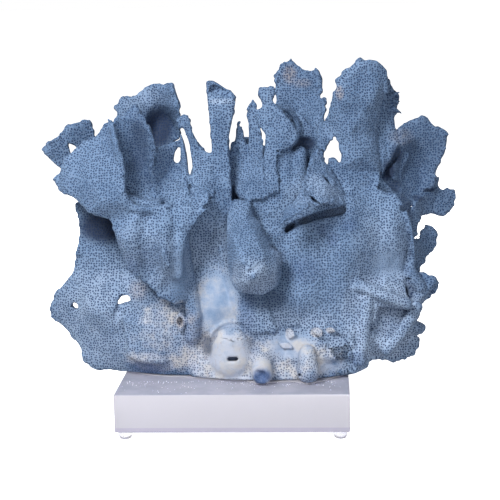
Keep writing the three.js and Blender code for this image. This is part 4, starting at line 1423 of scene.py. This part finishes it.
def add_piece(name: str, mesh: bpy.types.Mesh, slot: str, *nodes: str) -> bpy.types.Object:
    """Puts a mesh in the scene in place of its nodes.

    Args:
        name: The piece's name.
        mesh: Its mesh, in the frame's place.
        slot: The record's material slot; not used.
        nodes: The nodes that it replaces.

    Returns:
        The new object.
    """
    piece = new_object(name, mesh)
    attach(piece, BODY)
    if nodes:
        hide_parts(*nodes)
    LOG.info("%s: %d faces", name, len(mesh.polygons))
    return piece


# ---------------------------------------------------------------------------------------------
# The stand
# ---------------------------------------------------------------------------------------------


@dataclass
class Glitter:
    """Small flakes strewn over the glue and the block in front of the coral. Sizes in metres."""

    name: str = "glue_flakes"
    density: float = 190000.0
    seed: int = 5
    smallest: float = 0.00012
    largest: float = 0.00042
    reach: float = 0.030
    margin: float = 0.002
    rows: int = 12
    thin: float = 0.04
    gather: float = 4.0
    flatness: float = 0.45
    lift: float = 0.00005

    def tree(self, finish: bpy.types.Material) -> bpy.types.NodeTree:
        """Node tree that strews flakes over a patch.

        Args:
            finish: The flakes' material.

        Returns:
            The tree, with its numbers as named inputs.
        """
        group = bpy.data.node_groups.new(self.name, "GeometryNodeTree")
        face = group.interface
        face.new_socket("Patch", in_out="INPUT", socket_type="NodeSocketGeometry")
        for label in ("Density", "Smallest", "Largest"):
            face.new_socket(label, in_out="INPUT", socket_type="NodeSocketFloat")
        face.new_socket("Seed", in_out="INPUT", socket_type="NodeSocketInt")
        face.new_socket("Flakes", in_out="OUTPUT", socket_type="NodeSocketGeometry")
        tree = Tree(group)
        given = tree.node("NodeGroupInput").outputs
        thick = tree.node("GeometryNodeInputNamedAttribute", {"Name": "thick"}).outputs["Attribute"]
        amount = tree.math("MULTIPLY", given["Density"], thick)
        strewn = tree.node(
            "GeometryNodeDistributePointsOnFaces",
            {"Mesh": given["Patch"], "Density": amount, "Seed": given["Seed"]},
        )
        flake = tree.node("GeometryNodeMeshIcoSphere", {"Radius": 1.0, "Subdivisions": 1}).outputs["Mesh"]
        turn = tree.node("FunctionNodeRandomValue", data_type="FLOAT_VECTOR")
        tree.feed(turn.inputs["Max"], (math.tau, math.tau, math.tau))
        tree.feed(turn.inputs["Seed"], given["Seed"])
        size = tree.node("FunctionNodeRandomValue", data_type="FLOAT")
        ends = {"Min": given["Smallest"], "Max": given["Largest"]}
        for socket in size.inputs:
            if socket.type == "VALUE" and socket.name in ends:
                tree.feed(socket, ends[socket.name])
        value = next(out for out in size.outputs if out.type == "VALUE")
        thickness = tree.math("MULTIPLY", value, self.flatness)
        flat = tree.node("ShaderNodeCombineXYZ", {"X": value, "Y": value, "Z": thickness})
        placed = tree.node(
            "GeometryNodeInstanceOnPoints",
            {
                "Points": strewn.outputs["Points"],
                "Instance": flake,
                "Rotation": next(out for out in turn.outputs if out.type == "VECTOR"),
                "Scale": flat.outputs["Vector"],
            },
        )
        real = tree.node("GeometryNodeRealizeInstances", {"Geometry": placed.outputs["Instances"]})
        coated = {"Geometry": real.outputs["Geometry"], "Material": finish}
        dressed = tree.node("GeometryNodeSetMaterial", coated)
        tree.node("NodeGroupOutput", {"Flakes": dressed.outputs["Geometry"]})
        return group

    def patch(self) -> bpy.types.Object:
        """Flat strip of the block's top from its front edge to under the coral.

        Returns:
            The strip, with the number "thick" painted on it.
        """
        low, high = (Vector(v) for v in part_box("acrylic_block"))
        left, right, top = low.x + self.margin, high.x - self.margin, high.z + self.lift
        verts = []
        for k in range(self.rows + 1):
            y = low.y + self.margin + self.reach * k / self.rows
            verts += [(left, y, top), (right, y, top)]
        faces = [(2 * k, 2 * k + 1, 2 * k + 3, 2 * k + 2) for k in range(self.rows)]
        mesh = bpy.data.meshes.new(self.name + "_patch")
        mesh.from_pydata(verts, [], faces)
        thick = mesh.attributes.new("thick", "FLOAT", "POINT")
        share = [
            self.thin + (1.0 - self.thin) * (k // 2 / self.rows) ** self.gather for k in range(len(verts))
        ]
        thick.data.foreach_set("value", share)
        return new_object(self.name + "_patch", mesh)

    def build(self, finish: bpy.types.Material) -> bpy.types.Object:
        """Strews the flakes and keeps them as one plain mesh.

        Args:
            finish: The flakes' material.

        Returns:
            The new piece.
        """
        patch = self.patch()
        modifier = patch.modifiers.new(self.name, "NODES")
        modifier.node_group = self.tree(finish)
        wanted = {
            "Density": self.density,
            "Smallest": self.smallest,
            "Largest": self.largest,
            "Seed": self.seed,
        }
        for item in modifier.node_group.interface.items_tree:
            if item.in_out == "INPUT" and item.name in wanted:
                modifier[item.identifier] = wanted[item.name]
        view = bpy.context.evaluated_depsgraph_get()
        mesh = bpy.data.meshes.new_from_object(patch.evaluated_get(view))
        mesh.name = self.name
        bpy.data.objects.remove(patch)
        return add_piece(self.name, mesh, "glue")


@dataclass
class Stand:
    """Clear block, its bumpers and the glue on it. Sizes in metres."""

    bevel: float = 0.0009
    bevel_steps: int = 3
    block_crease: float = math.radians(25)
    bumper_profile: tuple[Span, ...] = (
        (0.62, 0.0), (0.74, 0.04), (0.86, 0.2), (0.95, 0.5), (1.0, 0.8), (1.0, 1.0),
    )
    bumper_turns: int = 40
    bumper_crease: float = math.radians(50)

    def block(self, finish: bpy.types.Material) -> bpy.types.Object:
        """Polished block with softened edges.

        Args:
            finish: The block's material.

        Returns:
            The new piece.
        """
        low, high = (Vector(v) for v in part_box("acrylic_block"))
        shape = bmesh.new()
        bmesh.ops.create_cube(shape, size=1.0)
        bmesh.ops.scale(shape, vec=high - low, verts=shape.verts)
        bmesh.ops.translate(shape, vec=(low + high) / 2, verts=shape.verts)
        bmesh.ops.bevel(
            shape,
            geom=shape.edges,
            offset=self.bevel,
            segments=self.bevel_steps,
            profile=0.5,
            affect="EDGES",
        )
        mesh = bpy.data.meshes.new("polished_block")
        shape.to_mesh(mesh)
        shape.free()
        mesh.shade_smooth()
        mesh.set_sharp_from_angle(angle=self.block_crease)
        mesh.materials.append(finish)
        return add_piece("polished_block", mesh, "acrylic", "acrylic_block")

    def bumper(self, node: str, finish: bpy.types.Material) -> bpy.types.Object:
        """Soft foot with a domed side, narrower where it stands.

        Args:
            node: The bumper's node.
            finish: The bumpers' material.

        Returns:
            The new piece.
        """
        low, high = (Vector(v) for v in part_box(node))
        radius, height = (high.x - low.x) / 2, high.z - low.z
        centre = (low + high) / 2
        turns, rings = self.bumper_turns, len(self.bumper_profile)
        verts, faces = [], []
        for share, rise in self.bumper_profile:
            for i in range(turns):
                a = math.tau * i / turns
                x = centre.x + radius * share * math.cos(a)
                y = centre.y + radius * share * math.sin(a)
                verts.append((x, y, low.z + height * rise))
        for r in range(rings - 1):
            for i in range(turns):
                j = (i + 1) % turns
                faces.append((r * turns + i, r * turns + j, (r + 1) * turns + j, (r + 1) * turns + i))
        faces.append(tuple(reversed(range(turns))))
        faces.append(tuple((rings - 1) * turns + i for i in range(turns)))
        mesh = bpy.data.meshes.new(node + "_soft")
        mesh.from_pydata(verts, [], faces)
        turn_outward(mesh)
        mesh.shade_smooth()
        mesh.set_sharp_from_angle(angle=self.bumper_crease)
        mesh.materials.append(finish)
        return add_piece(node + "_soft", mesh, "clear_bumper", node)

    def glue(self) -> None:
        """Dresses the glue's own mesh."""
        finish = ClearFinish("glitter_glue", (0.74, 0.74, 0.82), 0.15, 1.45, clarity=0.6).build()
        mesh = frame["nodes"]["glue_layer"].data
        mesh.materials.clear()
        mesh.materials.append(finish)
        LOG.info("glue_layer: %d faces", len(mesh.polygons))

    def build(self) -> None:
        """Makes every piece of the stand."""
        low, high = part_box("acrylic_block")
        acrylic = ClearFinish(
            "clear_acrylic",
            (0.80, 0.79, 0.88),
            clarity=0.55,
            # The lid colour is painted shade.
            top=(0.50, 0.52, 0.62),
            low_band=(0.66, 0.64, 0.80),
            low=low[2],
            high=high[2],
        ).build()
        rubber = ClearFinish("clear_rubber", (0.86, 0.86, 0.92), 0.12, 1.45, clarity=0.8).build()
        self.block(acrylic)
        for node in sorted(frame["nodes"]):
            if node.startswith("bumper"):
                self.bumper(node, rubber)
        self.glue()
        Glitter().build(FlakeFinish().build())


# ---------------------------------------------------------------------------------------------
# The studio
# ---------------------------------------------------------------------------------------------


@dataclass(frozen=True)
class Lamp:
    """Soft square lamp. Places are in millimetres from the block's foot, its side in metres.

    A lamp that is not seen lights the object, but shows neither in gloss nor through the block.
    """

    name: str
    eye: Point
    target: Point
    side: float
    power: float
    colour: Point
    seen: bool = True


@dataclass
class Studio:
    """Pale floor, soft light and the camera. Places are in millimetres from the block's foot."""

    origin: Point
    eye: Point = (64.9, -919.6, 279.1)
    pitch: float = math.radians(-10.35)
    yaw: float = math.radians(-3.43)
    roll: float = math.radians(-1.23)
    lens: float = 98.4
    sensor: float = 36.0
    sight: Span = (0.05, 200.0)
    floor_side: float = 60.0
    ambient: float = 0.34
    ambient_rise: Span = (0.03, 0.09)
    ground: float = 0.36
    ground_rise: Span = (-0.04, -0.01)
    lamps: tuple[Lamp, ...] = (
        Lamp("fill", (380, -880, 60), (40, 0, 90), 0.6, 5.0, (0.97, 0.98, 1.0)),
        Lamp("key", (-420, -680, 900), (0, 0, 120), 0.4, 18.0, (1.0, 0.99, 0.97)),
        Lamp("back", (-300, 980, 560), (0, 0, 110), 0.6, 11.0, (1.0, 1.0, 1.0), seen=False),
    )

    def place(self, point: Point) -> Vector:
        """Point in metres, in the frame."""
        return (Vector(point) + Vector(self.origin)) * MM

    def camera(self) -> None:
        """Makes the camera."""
        data = bpy.data.cameras.new("camera")
        data.lens = self.lens
        data.sensor_width = self.sensor
        data.clip_start, data.clip_end = self.sight
        camera = new_object("camera", data)
        forward = Vector(
            (
                math.sin(self.yaw) * math.cos(self.pitch),
                math.cos(self.yaw) * math.cos(self.pitch),
                math.sin(self.pitch),
            )
        )
        right = Vector((math.cos(self.yaw), -math.sin(self.yaw), 0.0))
        up = right.cross(forward)
        turned = math.cos(self.roll) * right + math.sin(self.roll) * up
        raised = -math.sin(self.roll) * right + math.cos(self.roll) * up
        axes = Matrix((turned, raised, -forward)).transposed().to_4x4()
        camera.matrix_world = Matrix.Translation(self.place(self.eye)) @ axes
        bpy.context.scene.camera = camera

    def hang(self, lamp: Lamp) -> None:
        """Adds one lamp.

        Args:
            lamp: The lamp.
        """
        data = bpy.data.lights.new(lamp.name, "AREA")
        data.shape = "SQUARE"
        data.size = lamp.side
        data.energy = lamp.power
        data.color = lamp.colour
        hung = new_object(lamp.name, data)
        hung.location = self.place(lamp.eye)
        aim = self.place(lamp.target) - hung.location
        hung.rotation_mode = "QUATERNION"
        hung.rotation_quaternion = aim.to_track_quat("-Z", "Y")
        hung.visible_glossy = lamp.seen
        hung.visible_transmission = lamp.seen

    def floor(self) -> None:
        """Makes the floor."""
        side = self.floor_side
        corners = [(-side, -side, 0), (side, -side, 0), (side, side, 0), (-side, side, 0)]
        mesh = bpy.data.meshes.new("studio_floor")
        mesh.from_pydata(corners, [], [(0, 1, 2, 3)])
        mesh.materials.append(FloorFinish().build())
        floor = new_object("studio_floor", mesh)
        floor.visible_diffuse = False

    def world(self) -> None:
        """Makes the even white surround."""
        world = bpy.data.worlds.new("studio")
        world.use_nodes = True
        tree = Tree(world.node_tree)
        sky = tree.node("ShaderNodeTexCoord").outputs["Generated"]
        height = tree.node("ShaderNodeSeparateXYZ", {"Vector": sky}).outputs["Z"]
        background = world.node_tree.nodes["Background"]
        background.inputs["Color"].default_value = (1.0, 1.0, 1.0, 1.0)
        above = tree.ramp(height, *self.ambient_rise, (1.0, self.ambient))
        lit = tree.blend(tree.ramp(height, *self.ground_rise), self.ground, above)
        tree.feed(background.inputs["Strength"], lit)
        bpy.context.scene.world = world
        bpy.context.scene.view_settings.view_transform = "Standard"

    def build(self) -> None:
        """Makes everything round the object."""
        self.floor()
        self.world()
        for lamp in self.lamps:
            self.hang(lamp)
        self.camera()


def main() -> None:
    """Builds the stand, the coral and the studio in order."""
    logging.basicConfig(level=logging.INFO, format="%(name)s: %(message)s")
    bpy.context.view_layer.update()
    low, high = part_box("acrylic_block")
    origin = ((low[0] + high[0]) / 2 / MM, (low[1] + high[1]) / 2 / MM, 0.0)
    Stand().build()
    Colony(origin).build(CoralFinish().build())
    Studio(origin).build()


if __name__ == "__main__":
    main()
